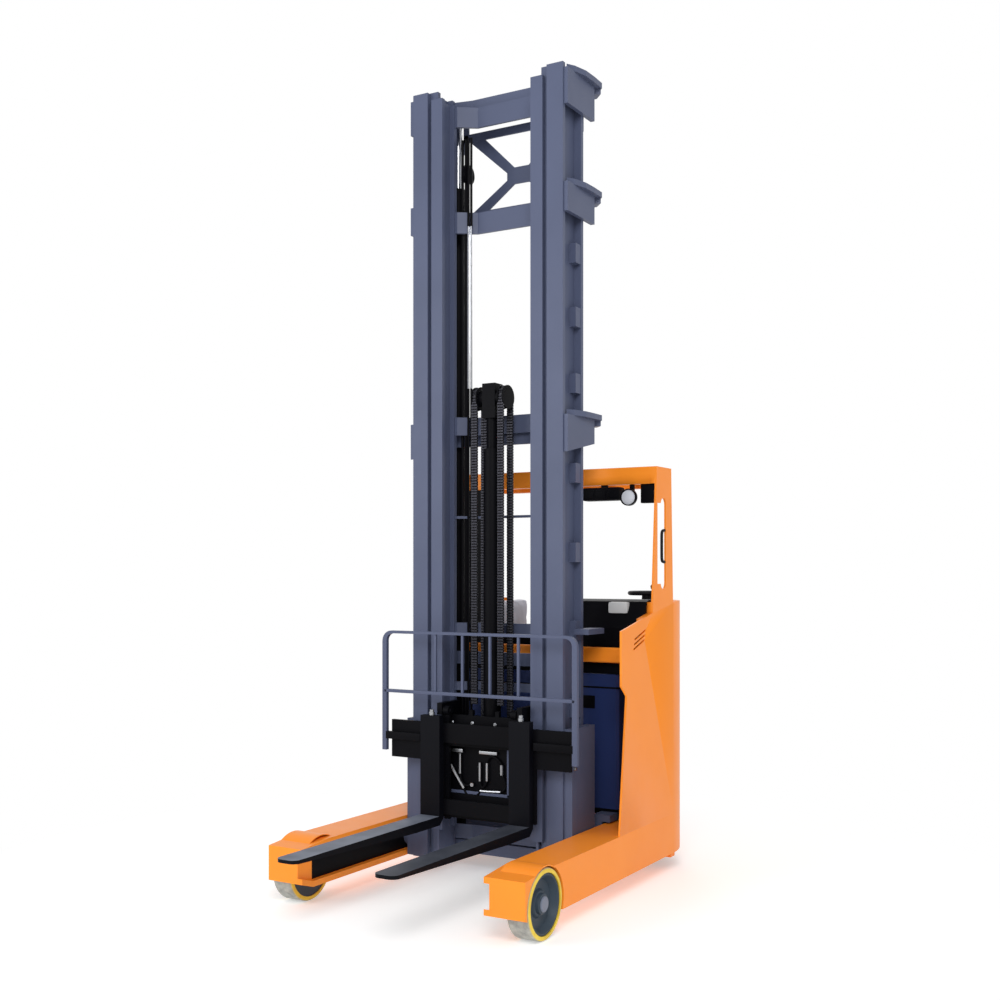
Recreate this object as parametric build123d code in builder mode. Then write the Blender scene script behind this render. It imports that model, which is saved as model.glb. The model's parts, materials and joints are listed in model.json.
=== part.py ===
# A reach truck: straddle legs, a rear body with the driver's place, and a three-stage mast
# that slides forward between the legs. Millimetres, +Z up, the forks point along -Y and the
# truck's left side is at +X. The origin is on the floor, in the middle of length and width.
# A place along the truck is given as its distance behind the load axle.
from build123d import *
import os

os.makedirs("parts", exist_ok=True)

# Overall sizes
overall_width = 1270
fork_ahead = 530        # fork tips, ahead of the load axle
body_behind = 1690      # rear wall, behind the load axle
axle_y = (fork_ahead - body_behind) / 2
half_width = overall_width / 2

# Clearances
seat_gap = 0.3          # between pieces that seat on each other
move_gap = 5            # between pieces that move past each other
tiny = 1                # how far a cutting tool reaches past what it cuts

# Flat sides of what is round and small, or hidden
hub_sides = 32
roller_sides = 24
pin_sides = 12


def back(distance):
    """The place on Y that lies this far behind the load axle."""
    return axle_y + distance


def block(x, y, z, mode=Mode.ADD):
    """A block between two places on each axis."""
    with Locations(((x[0] + x[1]) / 2, (y[0] + y[1]) / 2, (z[0] + z[1]) / 2)):
        Box(abs(x[1] - x[0]), abs(y[1] - y[0]), abs(z[1] - z[0]), mode=mode)


def rod_x(y, z, radius, x, mode=Mode.ADD):
    """A round bar along X, from x[0] to x[1]."""
    with Locations(Location(((x[0] + x[1]) / 2, y, z), (0, 90, 0))):
        Cylinder(radius, abs(x[1] - x[0]), mode=mode)


def rod_y(x, z, radius, y, mode=Mode.ADD):
    """A round bar along Y, from y[0] to y[1]."""
    with Locations(Location((x, (y[0] + y[1]) / 2, z), (90, 0, 0))):
        Cylinder(radius, abs(y[1] - y[0]), mode=mode)


def rod_z(x, y, radius, z, mode=Mode.ADD):
    """A round bar along Z, from z[0] to z[1]."""
    with Locations((x, y, (z[0] + z[1]) / 2)):
        Cylinder(radius, abs(z[1] - z[0]), mode=mode)


def flat_rod_x(y, z, radius, x, sides, mode=Mode.ADD, to_flats=False):
    """A bar along X with flat sides. The radius is to its corners, or to its flats."""
    with BuildSketch(Plane.YZ.offset(min(x))) as view:
        with Locations((y, z)):
            RegularPolygon(radius, sides, major_radius=not to_flats)
    extrude(view.sketch, amount=abs(x[1] - x[0]), mode=mode)


def flat_rod_z(x, y, radius, z, sides, mode=Mode.ADD):
    """A bar along Z with flat sides. The radius is to its corners."""
    with BuildSketch(Plane.XY.offset(min(z))) as view:
        with Locations((x, y)):
            RegularPolygon(radius, sides)
    extrude(view.sketch, amount=abs(z[1] - z[0]), mode=mode)


def side_plate(outline, x, mode=Mode.ADD):
    """A plate with a side view given as (y, z) points, from x[0] to x[1]."""
    with BuildSketch(Plane.YZ.offset(min(x))) as view:
        Polygon(*outline, align=None)
    extrude(view.sketch, amount=abs(x[1] - x[0]), mode=mode)


def plan_plate(outline, z, mode=Mode.ADD):
    """A plate with a plan view given as (x, y) points, from z[0] to z[1]."""
    with BuildSketch(Plane.XY.offset(min(z))) as view:
        Polygon(*outline, align=None)
    extrude(view.sketch, amount=abs(z[1] - z[0]), mode=mode)


def both(x):
    """The same stretch of X on the left side and on the right side."""
    return ((x[0], x[1]), (-x[1], -x[0]))


def mirrored(outline):
    """A plan outline given for the left side, closed by its mirror image on the right."""
    return outline + [(-x, y) for x, y in reversed(outline)]


def finish(piece, name):
    """Label a finished piece and write it."""
    piece.part.label = name
    export_step(piece.part, "parts/" + name + ".step")


# Load wheels at the ends of the legs
load_r = 142.5
load_w = 100
load_tread = 36         # thickness of the tyre
tyre_edge = 9
load_axle_r = 25
load_out = half_width
load_in = load_out - load_w
hub_dish = 34           # depth of the hub's face inside the rim
hub_rim = 14
hub_cap_r = 42
hub_inset = 4           # the hub's edge inside the tyre's side

# Straddle legs
leg_wide = 185
leg_in = half_width - leg_wide      # edge of the channel's flanges
leg_web_in = leg_in + 25            # face of the channel's web
leg_low = 90
leg_top = 280
leg_flange = 25
nose_front = back(-load_r - 22)
nose_low = 113
nose_top = 263
nose_run = 20           # where the nose's slope ends, behind the load axle
heel_run = 90           # where the nose's lower slope ends, ahead of the load axle
leg_end = back(1290)
wheel_room = 8          # between the tyre and its arch
arch_in = load_in - wheel_room

leg_outline = [(nose_front, nose_low), (nose_front, nose_top), (back(nose_run), leg_top), (leg_end, leg_top),
               (leg_end, leg_low), (back(-heel_run), leg_low)]
channel_outline = [(nose_front - tiny, nose_low + leg_flange), (nose_front - tiny, nose_top - leg_flange),
                   (back(nose_run), leg_top - leg_flange), (leg_end + tiny, leg_top - leg_flange),
                   (leg_end + tiny, leg_low + leg_flange), (back(-heel_run), leg_low + leg_flange)]

for side, name in ((1, "left"), (-1, "right")):
    with BuildPart() as leg:
        side_plate(leg_outline, (side * leg_in, side * half_width))
        side_plate(channel_outline, (side * (leg_in - tiny), side * leg_web_in), Mode.SUBTRACT)
        rod_x(axle_y, load_r, load_r + wheel_room, (side * arch_in, side * (half_width + tiny)), Mode.SUBTRACT)
    finish(leg, "leg_" + name)

    with BuildPart() as tyre:
        rod_x(axle_y, load_r, load_r, (side * load_in, side * load_out))
        chamfer(tyre.edges().filter_by(GeomType.CIRCLE).sort_by(Axis.X)[-1 if side > 0 else 0], tyre_edge)
        flat_rod_x(axle_y, load_r, load_r - load_tread, (side * (load_in - tiny), side * (load_out + tiny)), hub_sides,
                   Mode.SUBTRACT, to_flats=True)
    finish(tyre, "load_tyre_" + name)

    with BuildPart() as hub:
        flat_rod_x(axle_y, load_r, load_r - load_tread - seat_gap,
                   (side * (load_in + hub_inset), side * (load_out - hub_inset)), hub_sides, to_flats=True)
        flat_rod_x(axle_y, load_r, load_r - load_tread - hub_rim,
                   (side * (load_out - hub_dish), side * (load_out + tiny)), hub_sides, Mode.SUBTRACT)
        flat_rod_x(axle_y, load_r, hub_cap_r, (side * (load_out - hub_dish - tiny), side * (load_out - 3 * hub_inset)),
                   roller_sides)
        flat_rod_x(axle_y, load_r, load_axle_r + seat_gap, (side * (load_in - tiny), side * (load_out - 22)),
                   roller_sides, Mode.SUBTRACT, to_flats=True)
    finish(hub, "load_hub_" + name)

with BuildPart() as load_axles:
    for side in (1, -1):
        flat_rod_x(axle_y, load_r, load_axle_r, (side * arch_in, side * (load_out - 24)), roller_sides, to_flats=True)
finish(load_axles, "load_axles")

# Base behind the legs, under the driver
wall = 30               # thickness of the body's side and rear walls
corner_r = 398
rear_y = back(body_behind)
deck_t = 20
deck_top = leg_top + deck_t
skirt_low = 120
base_front = back(1110)
drive_x = -200
drive_y = back(1400)
drive_r = 125
drive_w = 100
reach_x = 200
reach_z = 200
reach_rod_r = 22
reach_barrel_r = 36
foot_t = 24
foot_deep = 50


def rear_plan(z, y_front, inset, mode=Mode.ADD):
    """The rounded rear of the truck in plan, drawn in by an inset, from z[0] to z[1]."""
    with BuildSketch(Plane.XY.offset(z[0])) as view:
        with Locations((0, (axle_y + rear_y - inset) / 2)):
            Rectangle(2 * (half_width - inset), rear_y - inset - axle_y)
        fillet(view.vertices().group_by(Axis.Y)[-1], corner_r - inset)
        with Locations((0, (axle_y - tiny + y_front) / 2)):
            Rectangle(2 * half_width, y_front - axle_y + tiny, mode=Mode.SUBTRACT)
    extrude(view.sketch, amount=z[1] - z[0], mode=mode)


with BuildPart() as base_frame:
    rear_plan((leg_low, leg_top), base_front, 0)
    rear_plan((leg_low - tiny, leg_top + tiny), base_front + wall, wall, Mode.SUBTRACT)
    for x in both((leg_in, half_width + tiny)):
        block(x, (base_front - tiny, leg_end), (leg_low - tiny, leg_top + tiny), Mode.SUBTRACT)
    block((-leg_in, leg_in), (base_front - tiny, base_front + wall + tiny), (leg_low - tiny, skirt_low), Mode.SUBTRACT)
    for x in both((leg_in - wall, leg_in)):
        block(x, (base_front, leg_end + wall), (skirt_low, leg_top))
    for x in both((leg_in - wall, half_width - wall)):
        block(x, (leg_end, leg_end + wall), (skirt_low, leg_top))
    for x in both((half_width - 75, half_width - 15)):
        block(x, (leg_end, leg_end + foot_deep), (leg_low - foot_t, leg_low + foot_t))
    rod_y(reach_x, reach_z, reach_barrel_r + seat_gap, (base_front - tiny, base_front + wall + tiny), Mode.SUBTRACT)
finish(base_frame, "base_frame")

yoke_stem_r = 40
with BuildPart() as deck:
    rear_plan((leg_top, deck_top), base_front, wall + seat_gap)
    rod_z(drive_x, drive_y, yoke_stem_r + move_gap, (leg_top - tiny, deck_top + tiny), Mode.SUBTRACT)
finish(deck, "deck")

# Body panels round the battery and the driver. The left panel reaches forward beside the mast,
# with its front edge leaning back, and its top falls towards the mast.
panel_front = back(700)
sill_y = back(683)
notch_y = back(756)
notch_z = (890, 937)
shoulder_y = back(1040)
shoulder_z = 1250
post_foot_y = back(1285)
body_top = 1300
far_front = back(935)
body_inner = half_width - wall
panel_edge = [(sill_y, leg_top), (notch_y, notch_z[0]), (panel_front, notch_z[1]), (panel_front, 1180),
              (shoulder_y, shoulder_z), (post_foot_y, body_top - 10), (back(1310), body_top)]
entry_x = (-20, body_inner - 275)
dip_x = -450            # the rear wall is lower from here to the entry
dip_z = 1150
entry_sill = 520
louvre_first = (back(888), 1112)
louvre_step = (6, 22)
louvre_size = (130, 9)
louvre_lean = 18

with BuildPart() as body_shell:
    rear_plan((leg_top, body_top), sill_y, 0)
    rear_plan((leg_top - tiny, body_top + tiny), sill_y - tiny, wall, Mode.SUBTRACT)
    side_plate(panel_edge + [(back(1310), body_top + tiny), (sill_y - tiny, body_top + tiny), (sill_y - tiny, leg_top)],
               (-half_width - tiny, half_width + tiny), Mode.SUBTRACT)
    block((-half_width - tiny, 0), (sill_y - tiny, far_front), (leg_top - tiny, body_top + tiny), Mode.SUBTRACT)
    block(entry_x, (rear_y - 3 * wall, rear_y + tiny), (entry_sill, body_top + tiny), Mode.SUBTRACT)
    block((dip_x, entry_x[0] + tiny), (rear_y - 3 * wall, rear_y + tiny), (dip_z, body_top + tiny), Mode.SUBTRACT)
    for number in range(3):
        with BuildSketch(Plane.YZ.offset(body_inner - tiny)) as view:
            place = (louvre_first[0] + number * louvre_step[0], louvre_first[1] + number * louvre_step[1], 0)
            with Locations(Location(place, (0, 0, louvre_lean))):
                SlotOverall(*louvre_size)
        extrude(view.sketch, amount=wall + 2 * tiny, mode=Mode.SUBTRACT)
finish(body_shell, "body_shell")

# Battery on its tray, with the beam across in front of it
battery_y = (back(975), back(1235))
battery_half = half_width - 145
battery_z = (335, 963)
battery_corner = 12
tray_t = 10
lug_t = 14

with BuildPart() as battery:
    block((-battery_half, battery_half), battery_y, battery_z)
    chamfer(battery.edges().filter_by(Axis.Z), battery_corner)
    for x in both((battery_half - 90, battery_half - 50)):
        block(x, (battery_y[0] + 60, battery_y[1] - 60), (battery_z[1], battery_z[1] + lug_t))
finish(battery, "battery")

with BuildPart() as battery_tray:
    block((-battery_half - tray_t, battery_half + tray_t), battery_y, (battery_z[0] - tray_t, battery_z[0]))
    for x in both((battery_half, battery_half + 4 * tray_t)):
        block(x, (battery_y[0], base_front - tiny), (leg_top, battery_z[0]))
    block((-leg_in, leg_in), (base_front + tray_t, battery_y[1]), (deck_top, battery_z[0]))
finish(battery_tray, "battery_tray")

beam_y = (far_front - 5, far_front + 35)
beam_z = (1020, 1090)
with BuildPart() as cross_beam:
    block((-body_inner, body_inner), beam_y, beam_z)
    chamfer(cross_beam.edges().filter_by(Axis.X), 6)
finish(cross_beam, "cross_beam")

# Driver's place: floor, seat box, motor under it, seat, console and the hood behind the battery
cab_y = (back(1245), rear_y - wall - 10)
floor_z = (500, entry_sill)
seat_box_x = (-body_inner, -40)
seat_box_top = 900
seat_wall = 15
foot_wall = 30

with BuildPart() as cab_floor:
    rear_plan(floor_z, cab_y[0], wall + seat_gap)
    block((-half_width, seat_box_x[1]), (cab_y[0] - tiny, rear_y), (floor_z[0] - tiny, floor_z[1] + tiny), Mode.SUBTRACT)
    for x in ((seat_box_x[1], seat_box_x[1] + foot_wall), (body_inner - 2 * foot_wall, body_inner - foot_wall)):
        block(x, (cab_y[0], leg_end + 90), (deck_top, floor_z[0]))
finish(cab_floor, "cab_floor")

with BuildPart() as seat_box:
    rear_plan((deck_top, seat_box_top), cab_y[0], wall + seat_gap)
    block((seat_box_x[1], half_width), (cab_y[0] - tiny, rear_y), (deck_top - tiny, seat_box_top + tiny), Mode.SUBTRACT)
    rear_plan((deck_top - tiny, seat_box_top - seat_wall), cab_y[0] + seat_wall, wall + seat_gap + seat_wall,
              Mode.SUBTRACT)
    block((seat_box_x[1] - seat_wall, seat_box_x[1]), (cab_y[0], rear_y - 3 * wall), (deck_top, seat_box_top))
finish(seat_box, "seat_box")

motor_r = 95
motor_tall = 260
with BuildPart() as drive_motor:
    flat_rod_z(drive_x, drive_y, motor_r, (deck_top, deck_top + motor_tall), hub_sides)
finish(drive_motor, "drive_motor")

seat_y = (back(1265), back(1600))
cushion_x = (285 - body_inner, -45)
cushion_t = 90
cushion_round = 24
seat_back_top = body_top + 10
seat_back_t = 80
with BuildPart() as seat_cushion:
    block(cushion_x, seat_y, (seat_box_top, seat_box_top + cushion_t))
    chamfer(seat_cushion.edges().filter_by(Axis.Z), cushion_round)
    chamfer(seat_cushion.faces().sort_by(Axis.Z)[-1].edges(), cushion_round / 2)
finish(seat_cushion, "seat_cushion")

back_front = cushion_x[0] - seat_gap
with BuildPart() as seat_back:
    with BuildSketch(Plane.XZ.offset(-seat_y[0])) as view:
        Polygon((back_front, seat_box_top), (back_front - 8, seat_box_top + 120), (back_front, seat_back_top),
                (back_front - seat_back_t, seat_back_top), (back_front - seat_back_t - 12, seat_back_top - 20),
                (back_front - seat_back_t - 10, seat_box_top), align=None)
    extrude(view.sketch, amount=-(seat_y[1] - seat_y[0]))
    chamfer(seat_back.edges().filter_by(Axis.X).group_by(Axis.Z)[-1], 30)
finish(seat_back, "seat_back")

console_low = battery_z[1] + lug_t + 8
console_top = body_top + 10
console_y = (back(985), back(1240))
console_x = (120, body_inner)
arm_x = (body_inner - 285, body_inner)
arm_end = back(1560)
column = (body_inner - 175, back(1440))
column_r = 30
wheel_z = 1335
console_outline = [(console_y[0], console_low), (console_y[0], 1180), (console_y[0] + 55, console_top - 8),
                   (console_y[0] + 80, console_top), (console_y[1] - 50, console_top), (console_y[1], 1180),
                   (console_y[1], console_low)]
arm_outline = [(console_y[1] - tiny, floor_z[1]), (console_y[1] - tiny, body_top), (arm_end - 30, 1266),
               (arm_end, 1240), (arm_end, floor_z[1])]
with BuildPart() as console:
    side_plate(console_outline, console_x)
    side_plate(arm_outline, arm_x)
    rod_z(column[0], column[1], column_r, (1200, body_top))
    rear_plan((floor_z[1], body_top + 100), axle_y, wall + seat_gap, Mode.INTERSECT)
finish(console, "console")

hood_y = (back(1070), back(1240))
hood_top = 1170
pillar_x = (-430, -330)
with BuildPart() as battery_hood:
    block((-body_inner + seat_gap, console_x[0] - seat_gap), hood_y, (console_low, hood_top))
    chamfer(battery_hood.faces().sort_by(Axis.Z)[-1].edges().filter_by(Axis.X), 18)
finish(battery_hood, "battery_hood")

wheel_r = 84
grip_r = 11
spoke_t = 8
boss_r = 26
with BuildPart() as steering_wheel:
    flat_rod_z(column[0], column[1], wheel_r + grip_r, (wheel_z - grip_r, wheel_z + grip_r), hub_sides)
    flat_rod_z(column[0], column[1], wheel_r - grip_r, (wheel_z - grip_r - tiny, wheel_z + grip_r + tiny), hub_sides,
               Mode.SUBTRACT)
    flat_rod_z(column[0], column[1], boss_r, (body_top + seat_gap, wheel_z + spoke_t), roller_sides)
    for turn in (90, 210, 330):
        with Locations(Location((column[0], column[1], wheel_z - spoke_t / 2), (0, 0, turn))):
            with Locations((wheel_r / 2, 0, 0)):
                Box(wheel_r, 20, spoke_t)
    flat_rod_z(column[0] + wheel_r * 0.74, column[1] - wheel_r * 0.67, 14, (wheel_z, wheel_z + 45), pin_sides)
finish(steering_wheel, "steering_wheel")

# Steered drive wheel under the seat
yoke_top = leg_top - seat_gap
yoke_r = 110
yoke_arm_t = 22
drive_tread = 30
drive_axle_r = 28
yoke_arm_x = drive_x + drive_w / 2 + 12
with BuildPart() as drive_yoke:
    flat_rod_z(drive_x, drive_y, yoke_r, (drive_r * 2 + 8, yoke_top), hub_sides)
    flat_rod_z(drive_x, drive_y, yoke_stem_r, (yoke_top - tiny, deck_top - 2), roller_sides)
    block((yoke_arm_x, yoke_arm_x + yoke_arm_t), (drive_y - 60, drive_y + 60), (drive_r - 55, yoke_top - 10))
    flat_rod_x(drive_y, drive_r, drive_axle_r, (drive_x - drive_w / 2 + 10, yoke_arm_x + tiny), roller_sides)
finish(drive_yoke, "drive_yoke")

with BuildPart() as drive_tyre:
    rod_x(drive_y, drive_r, drive_r, (drive_x - drive_w / 2, drive_x + drive_w / 2))
    flat_rod_x(drive_y, drive_r, drive_r - drive_tread, (drive_x - drive_w, drive_x + drive_w), hub_sides,
               Mode.SUBTRACT, to_flats=True)
finish(drive_tyre, "drive_tyre")

with BuildPart() as drive_hub:
    flat_rod_x(drive_y, drive_r, drive_r - drive_tread - seat_gap,
               (drive_x - drive_w / 2 + 3, drive_x + drive_w / 2 - 3), hub_sides, to_flats=True)
    flat_rod_x(drive_y, drive_r, drive_axle_r + seat_gap, (drive_x - drive_w, drive_x + drive_w), roller_sides,
               Mode.SUBTRACT, to_flats=True)
finish(drive_hub, "drive_hub")

# Overhead guard: a roof ring on two wide posts and a pillar near the mast
guard_top = 1935
guard_deep = 80
guard_low = guard_top - guard_deep
ring_wide = 42
post_x = (half_width - wall, half_width)
roof_front = back(1088)
post_rear = back(1262)
roof_rear = back(1440)
roof_rear_half = half_width - 165
slot_y = back(1166)
slot_z = 1575
slot_size = (430, 62)
roof_bars = 7
bar_t = 16
bar_z = (guard_top - 50, guard_top - 6)
post_outline = [(shoulder_y, shoulder_z), (back(1090), guard_top), (post_rear, guard_top), (post_foot_y, body_top - 10)]

with BuildPart() as guard_frame:
    plan_plate(mirrored([(roof_rear_half, roof_rear), (half_width, post_rear), (half_width, roof_front)]),
               (guard_low, guard_top))
    plan_plate(mirrored([(roof_rear_half - ring_wide / 2, roof_rear - ring_wide), (half_width - ring_wide, post_rear - 7),
                         (half_width - ring_wide, roof_front + ring_wide)]),
               (guard_low - tiny, guard_top + tiny), Mode.SUBTRACT)
    for x in both(post_x):
        side_plate(post_outline, x)
    with BuildSketch(Plane.YZ.offset(-half_width - tiny)) as view:
        with Locations(Location((slot_y, slot_z, 0), (0, 0, 90))):
            SlotOverall(*slot_size)
    extrude(view.sketch, amount=overall_width + 2 * tiny, mode=Mode.SUBTRACT)
finish(guard_frame, "guard_frame")

with BuildPart() as guard_pillar:
    block(pillar_x, (roof_front + 4, roof_front + ring_wide), (hood_top, guard_low))
finish(guard_pillar, "guard_pillar")

bar_span = (roof_front + ring_wide, roof_rear - ring_wide)
with BuildPart() as guard_bars:
    for number in range(roof_bars):
        x = (2 * number / (roof_bars - 1) - 1) * (roof_rear_half - ring_wide)
        block((x - bar_t / 2, x + bar_t / 2), bar_span, bar_z)
finish(guard_bars, "guard_bars")

grip_x = (half_width - 34, half_width - 10)
grip_z = (1430, 1720)
with BuildPart() as grab_handles:
    for x in both(grip_x):
        block(x, (slot_y - 14, slot_y + 10), grip_z)
        for z in ((grip_z[0], grip_z[0] + 15), (grip_z[1] - 15, grip_z[1])):
            block(x, (slot_y, slot_y + slot_size[1] / 2), z)
finish(grab_handles, "grab_handles")

lamp_x = half_width - 130
lamp_z = 1792
with BuildPart() as guard_lamps:
    block((half_width - 372, half_width - 177), (roof_front - 30, roof_front + 30), (guard_low - 75, guard_low - 12))
    block((half_width - 290, half_width - 260), (roof_front + 4, roof_front + 24), (guard_low - 13, guard_low))
    rod_y(lamp_x, lamp_z, 39, (roof_front - 40, roof_front + 25))
    block((lamp_x - 10, lamp_x + 10), (roof_front + 4, roof_front + 20), (lamp_z, guard_low))
    block((half_width - 90, half_width - wall), (roof_front + 20, roof_front + ring_wide), (guard_low - 75, guard_low))
finish(guard_lamps, "guard_lamps")

# Mast: three nested stages. The inner rail's rear flange runs inside the middle rail, and the
# middle rail runs inside the outer one. Each rail is a web with two flanges.
mast_low = 95
mast_front = back(592)
rail_flange = 22
outer_top = 3700
middle_top = outer_top + 5
inner_top = outer_top - 40
inner_low = 235
mast_plate = 41         # side plates of the reach carriage, beside the mast
mast_half = leg_in - 9 - mast_plate
inner_x = (mast_half - 164, mast_half - 103)
inner_web = (mast_half - 140, mast_half - 128)
inner_deep = 126
middle_x = (inner_web[1] + move_gap, mast_half - 53)
middle_web = (mast_half - 94, mast_half - 82)
middle_deep = 147
outer_x = (middle_web[1], mast_half)
outer_web = (mast_half - 47, mast_half - 35)
middle_front = mast_front + rail_flange + move_gap
middle_rear = middle_front + middle_deep
inner_rear = mast_front + inner_deep
mast_rear = middle_rear + move_gap + rail_flange
roller_gap = 0.5        # between a roller and the flanges it runs between
roller_side = 3         # beside a roller
roller_pin_r = 20
rail_mid = middle_front + middle_deep / 2
inner_mid = mast_front + inner_deep / 2
middle_roller_r = middle_deep / 2 + move_gap - roller_gap
inner_roller_r = middle_deep / 2 - rail_flange - roller_gap
carriage_roller_r = inner_deep / 2 - rail_flange - roller_gap
step_heights = (432, 782, 1132, 1486, 1845, 2250, 2550, 2838)
step_tall = 88
step_deep = 50


def rail_pair(x, web, y, z):
    """A mast stage's rails on both sides: a web with a flange at its front and its rear."""
    for side in (1, -1):
        for across, along in ((x, (y[0], y[0] + rail_flange)), (web, (y[0] + tiny, y[1] - tiny)),
                              (x, (y[1] - rail_flange, y[1]))):
            block((side * across[0], side * across[1]), along, z)


with BuildPart() as outer_rails:
    rail_pair(outer_x, outer_web, (mast_front, mast_rear), (mast_low, outer_top))
    for height in step_heights:
        for x in both((outer_web[1] - tiny, outer_x[1] - 2)):
            block(x, (mast_rear - rail_flange - step_deep, mast_rear - rail_flange + tiny), (height, height + step_tall))
finish(outer_rails, "outer_rails")

# Brackets of the outer rails: a flange that widens round the rail and runs round the back, with a
# rim under it at the rear and a web plate at each side
tie_half = outer_x[1] + 43
tie_back = back(950)
tie_t = 25
tie_space = back(880)
rim_t = 12
rim_low = 50
web_t = 20
web_y = (back(600), back(869))
tie_edge = [(outer_x[1], back(628)), (outer_x[1] + 22, back(666)), (tie_half - 2, back(740)), (tie_half, back(823)),
            (tie_half - 3, back(906)), (tie_half - 45, tie_back)]
rim_edge = [(outer_x[1], back(892)), (tie_half - 9, back(906)), (tie_half - 51, tie_back)]
# Columns: top, height of the web plate, and how much lower its front corner is
tie_table = ((outer_top, 185, 0), (outer_top - 505, 155, 0), (outer_top - 1535, 135, 55))
stub_z = (1160, 1185)

with BuildPart() as outer_ties:
    for top, tall, slant in tie_table:
        plan_plate(mirrored(tie_edge) + [(-outer_x[1], tie_space), (outer_x[1], tie_space)], (top - tie_t, top))
        plan_plate(mirrored(rim_edge) + [(57 - tie_half, tie_back - rim_t), (tie_half - 57, tie_back - rim_t)],
                   (top - rim_low, top - tie_t + tiny))
        for x in both((outer_x[1], outer_x[1] + web_t)):
            side_plate([(web_y[0], top - tie_t + tiny), (web_y[0], top - tall - slant), (web_y[1], top - tall),
                        (web_y[1], top - tie_t + tiny)], x)
    for x in both((outer_x[1], tie_half + 30)):
        block(x, (back(700), back(860)), stub_z)
finish(outer_ties, "outer_ties")

# Flat bar and cross brace behind the two upper brackets
brace_t = 10
brace_y = tie_back - rim_t - brace_t
brace_bar = (outer_top - 195, outer_top - 100)
brace_half = inner_x[0] + 14
brace_wide = 46
brace_hub_r = 55
hanger_x = (outer_x[1] - 100, outer_x[1] - 70)
with BuildPart() as mast_brace:
    block((-hanger_x[1], hanger_x[1]), (brace_y, brace_y + brace_t), brace_bar)
    for x in both(hanger_x):
        block(x, (brace_y, brace_y + brace_t), (brace_bar[1] - tiny, outer_top - tie_t))
    for side in (1, -1):
        arm = [(-brace_half, brace_bar[0] + tiny), (brace_wide - brace_half, brace_bar[0] + tiny),
               (brace_half, tie_table[1][0]), (brace_half - brace_wide, tie_table[1][0])]
        with BuildSketch(Plane.XZ.offset(-brace_y)) as view:
            Polygon(*[(side * x, z) for x, z in arm], align=None)
        extrude(view.sketch, amount=-brace_t)
    rod_y(0, (brace_bar[0] + tie_table[1][0]) / 2, brace_hub_r, (brace_y, brace_y + brace_t))
finish(mast_brace, "mast_brace")

# Side lift cylinders, behind the rails
lift_x = outer_x[1] - 98
lift_y = back(836)
lift_barrel_r = 37
lift_rod_r = 20
lift_barrel_top = outer_top - 400
lift_clips = (1170, 2250, lift_barrel_top - 160)
lift_clip_tall = 40
saddle_z = (90, 150)
saddle_rear = back(905)
bore_gap = 1

with BuildPart() as lift_barrels:
    for side in (1, -1):
        rod_z(side * lift_x, lift_y, lift_barrel_r, (saddle_z[1], lift_barrel_top))
        for height in lift_clips:
            block((side * (lift_x + lift_rod_r), side * (lift_x + lift_barrel_r)), (mast_rear + seat_gap, lift_y),
                  (height, height + lift_clip_tall))
        rod_z(side * lift_x, lift_y, lift_rod_r + bore_gap, (saddle_z[1] + 30, lift_barrel_top + tiny), Mode.SUBTRACT)
finish(lift_barrels, "lift_barrels")

# Reach carriage: side plates at the mast's foot, a saddle, and rollers in the legs' channels
plate_x = (outer_x[1], outer_x[1] + mast_plate)
plate_y = (back(603), back(827))
plate_top = 745
roller_r = (leg_top - leg_low - 2 * leg_flange) / 2 - move_gap
roller_z = (leg_top + leg_low) / 2
roller_x = (plate_x[1] - tiny, leg_web_in - roller_side)
eye_y = (back(1010), back(1060))
slide_y = (back(900), back(1075))

with BuildPart() as reach_frame:
    for x in both(plate_x):
        block(x, plate_y, (mast_low, plate_top))
        block(x, (plate_y[1] - tiny, back(1080)), (mast_low + 35, leg_top - 10))
        block(x, slide_y, (leg_top - 20, leg_top + 40))
    for x in both((plate_x[1] - tiny, leg_in + 33)):
        block(x, slide_y, (leg_top + 8, leg_top + 40))
    block((-plate_x[0] - tiny, plate_x[0] + tiny), (mast_rear + seat_gap, saddle_rear), saddle_z)
    block((-plate_x[0] - tiny, plate_x[0] + tiny), eye_y, (leg_low + 60, leg_top - 12))
    for y in (back(680), back(1010)):
        for x in both(roller_x):
            flat_rod_x(y, roller_z, roller_r, x, roller_sides)
finish(reach_frame, "reach_frame")

reach_barrel_y = (back(1075), back(1645))
with BuildPart() as reach_rod:
    rod_y(reach_x, reach_z, reach_rod_r, (eye_y[1], reach_barrel_y[1] - 15))
finish(reach_rod, "reach_rod")

with BuildPart() as reach_barrel:
    rod_y(reach_x, reach_z, reach_barrel_r, reach_barrel_y)
    rod_y(reach_x, reach_z, reach_rod_r + bore_gap, (reach_barrel_y[0] - tiny, reach_barrel_y[1] - 12), Mode.SUBTRACT)
finish(reach_barrel, "reach_barrel")

# Middle stage. Its outward flanges are cut away at the foot, where its rollers run in the outer
# rails, and its ties bow back round the inner stage.
foot_cut = 195
with BuildPart() as middle_rails:
    rail_pair(middle_x, middle_web, (middle_front, middle_rear), (mast_low, middle_top))
    for x in both((middle_web[1], middle_x[1] + tiny)):
        block(x, (middle_front - tiny, middle_rear + tiny), (mast_low - tiny, mast_low + foot_cut), Mode.SUBTRACT)
    for x in both((outer_x[0] + roller_side, outer_web[0] - roller_side)):
        flat_rod_x(rail_mid, mast_low + foot_cut / 2, middle_roller_r, x, roller_sides)
    for x in both((middle_web[1] - tiny, outer_x[0] + roller_side + tiny)):
        flat_rod_x(rail_mid, mast_low + foot_cut / 2, roller_pin_r, x, pin_sides)
finish(middle_rails, "middle_rails")

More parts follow.
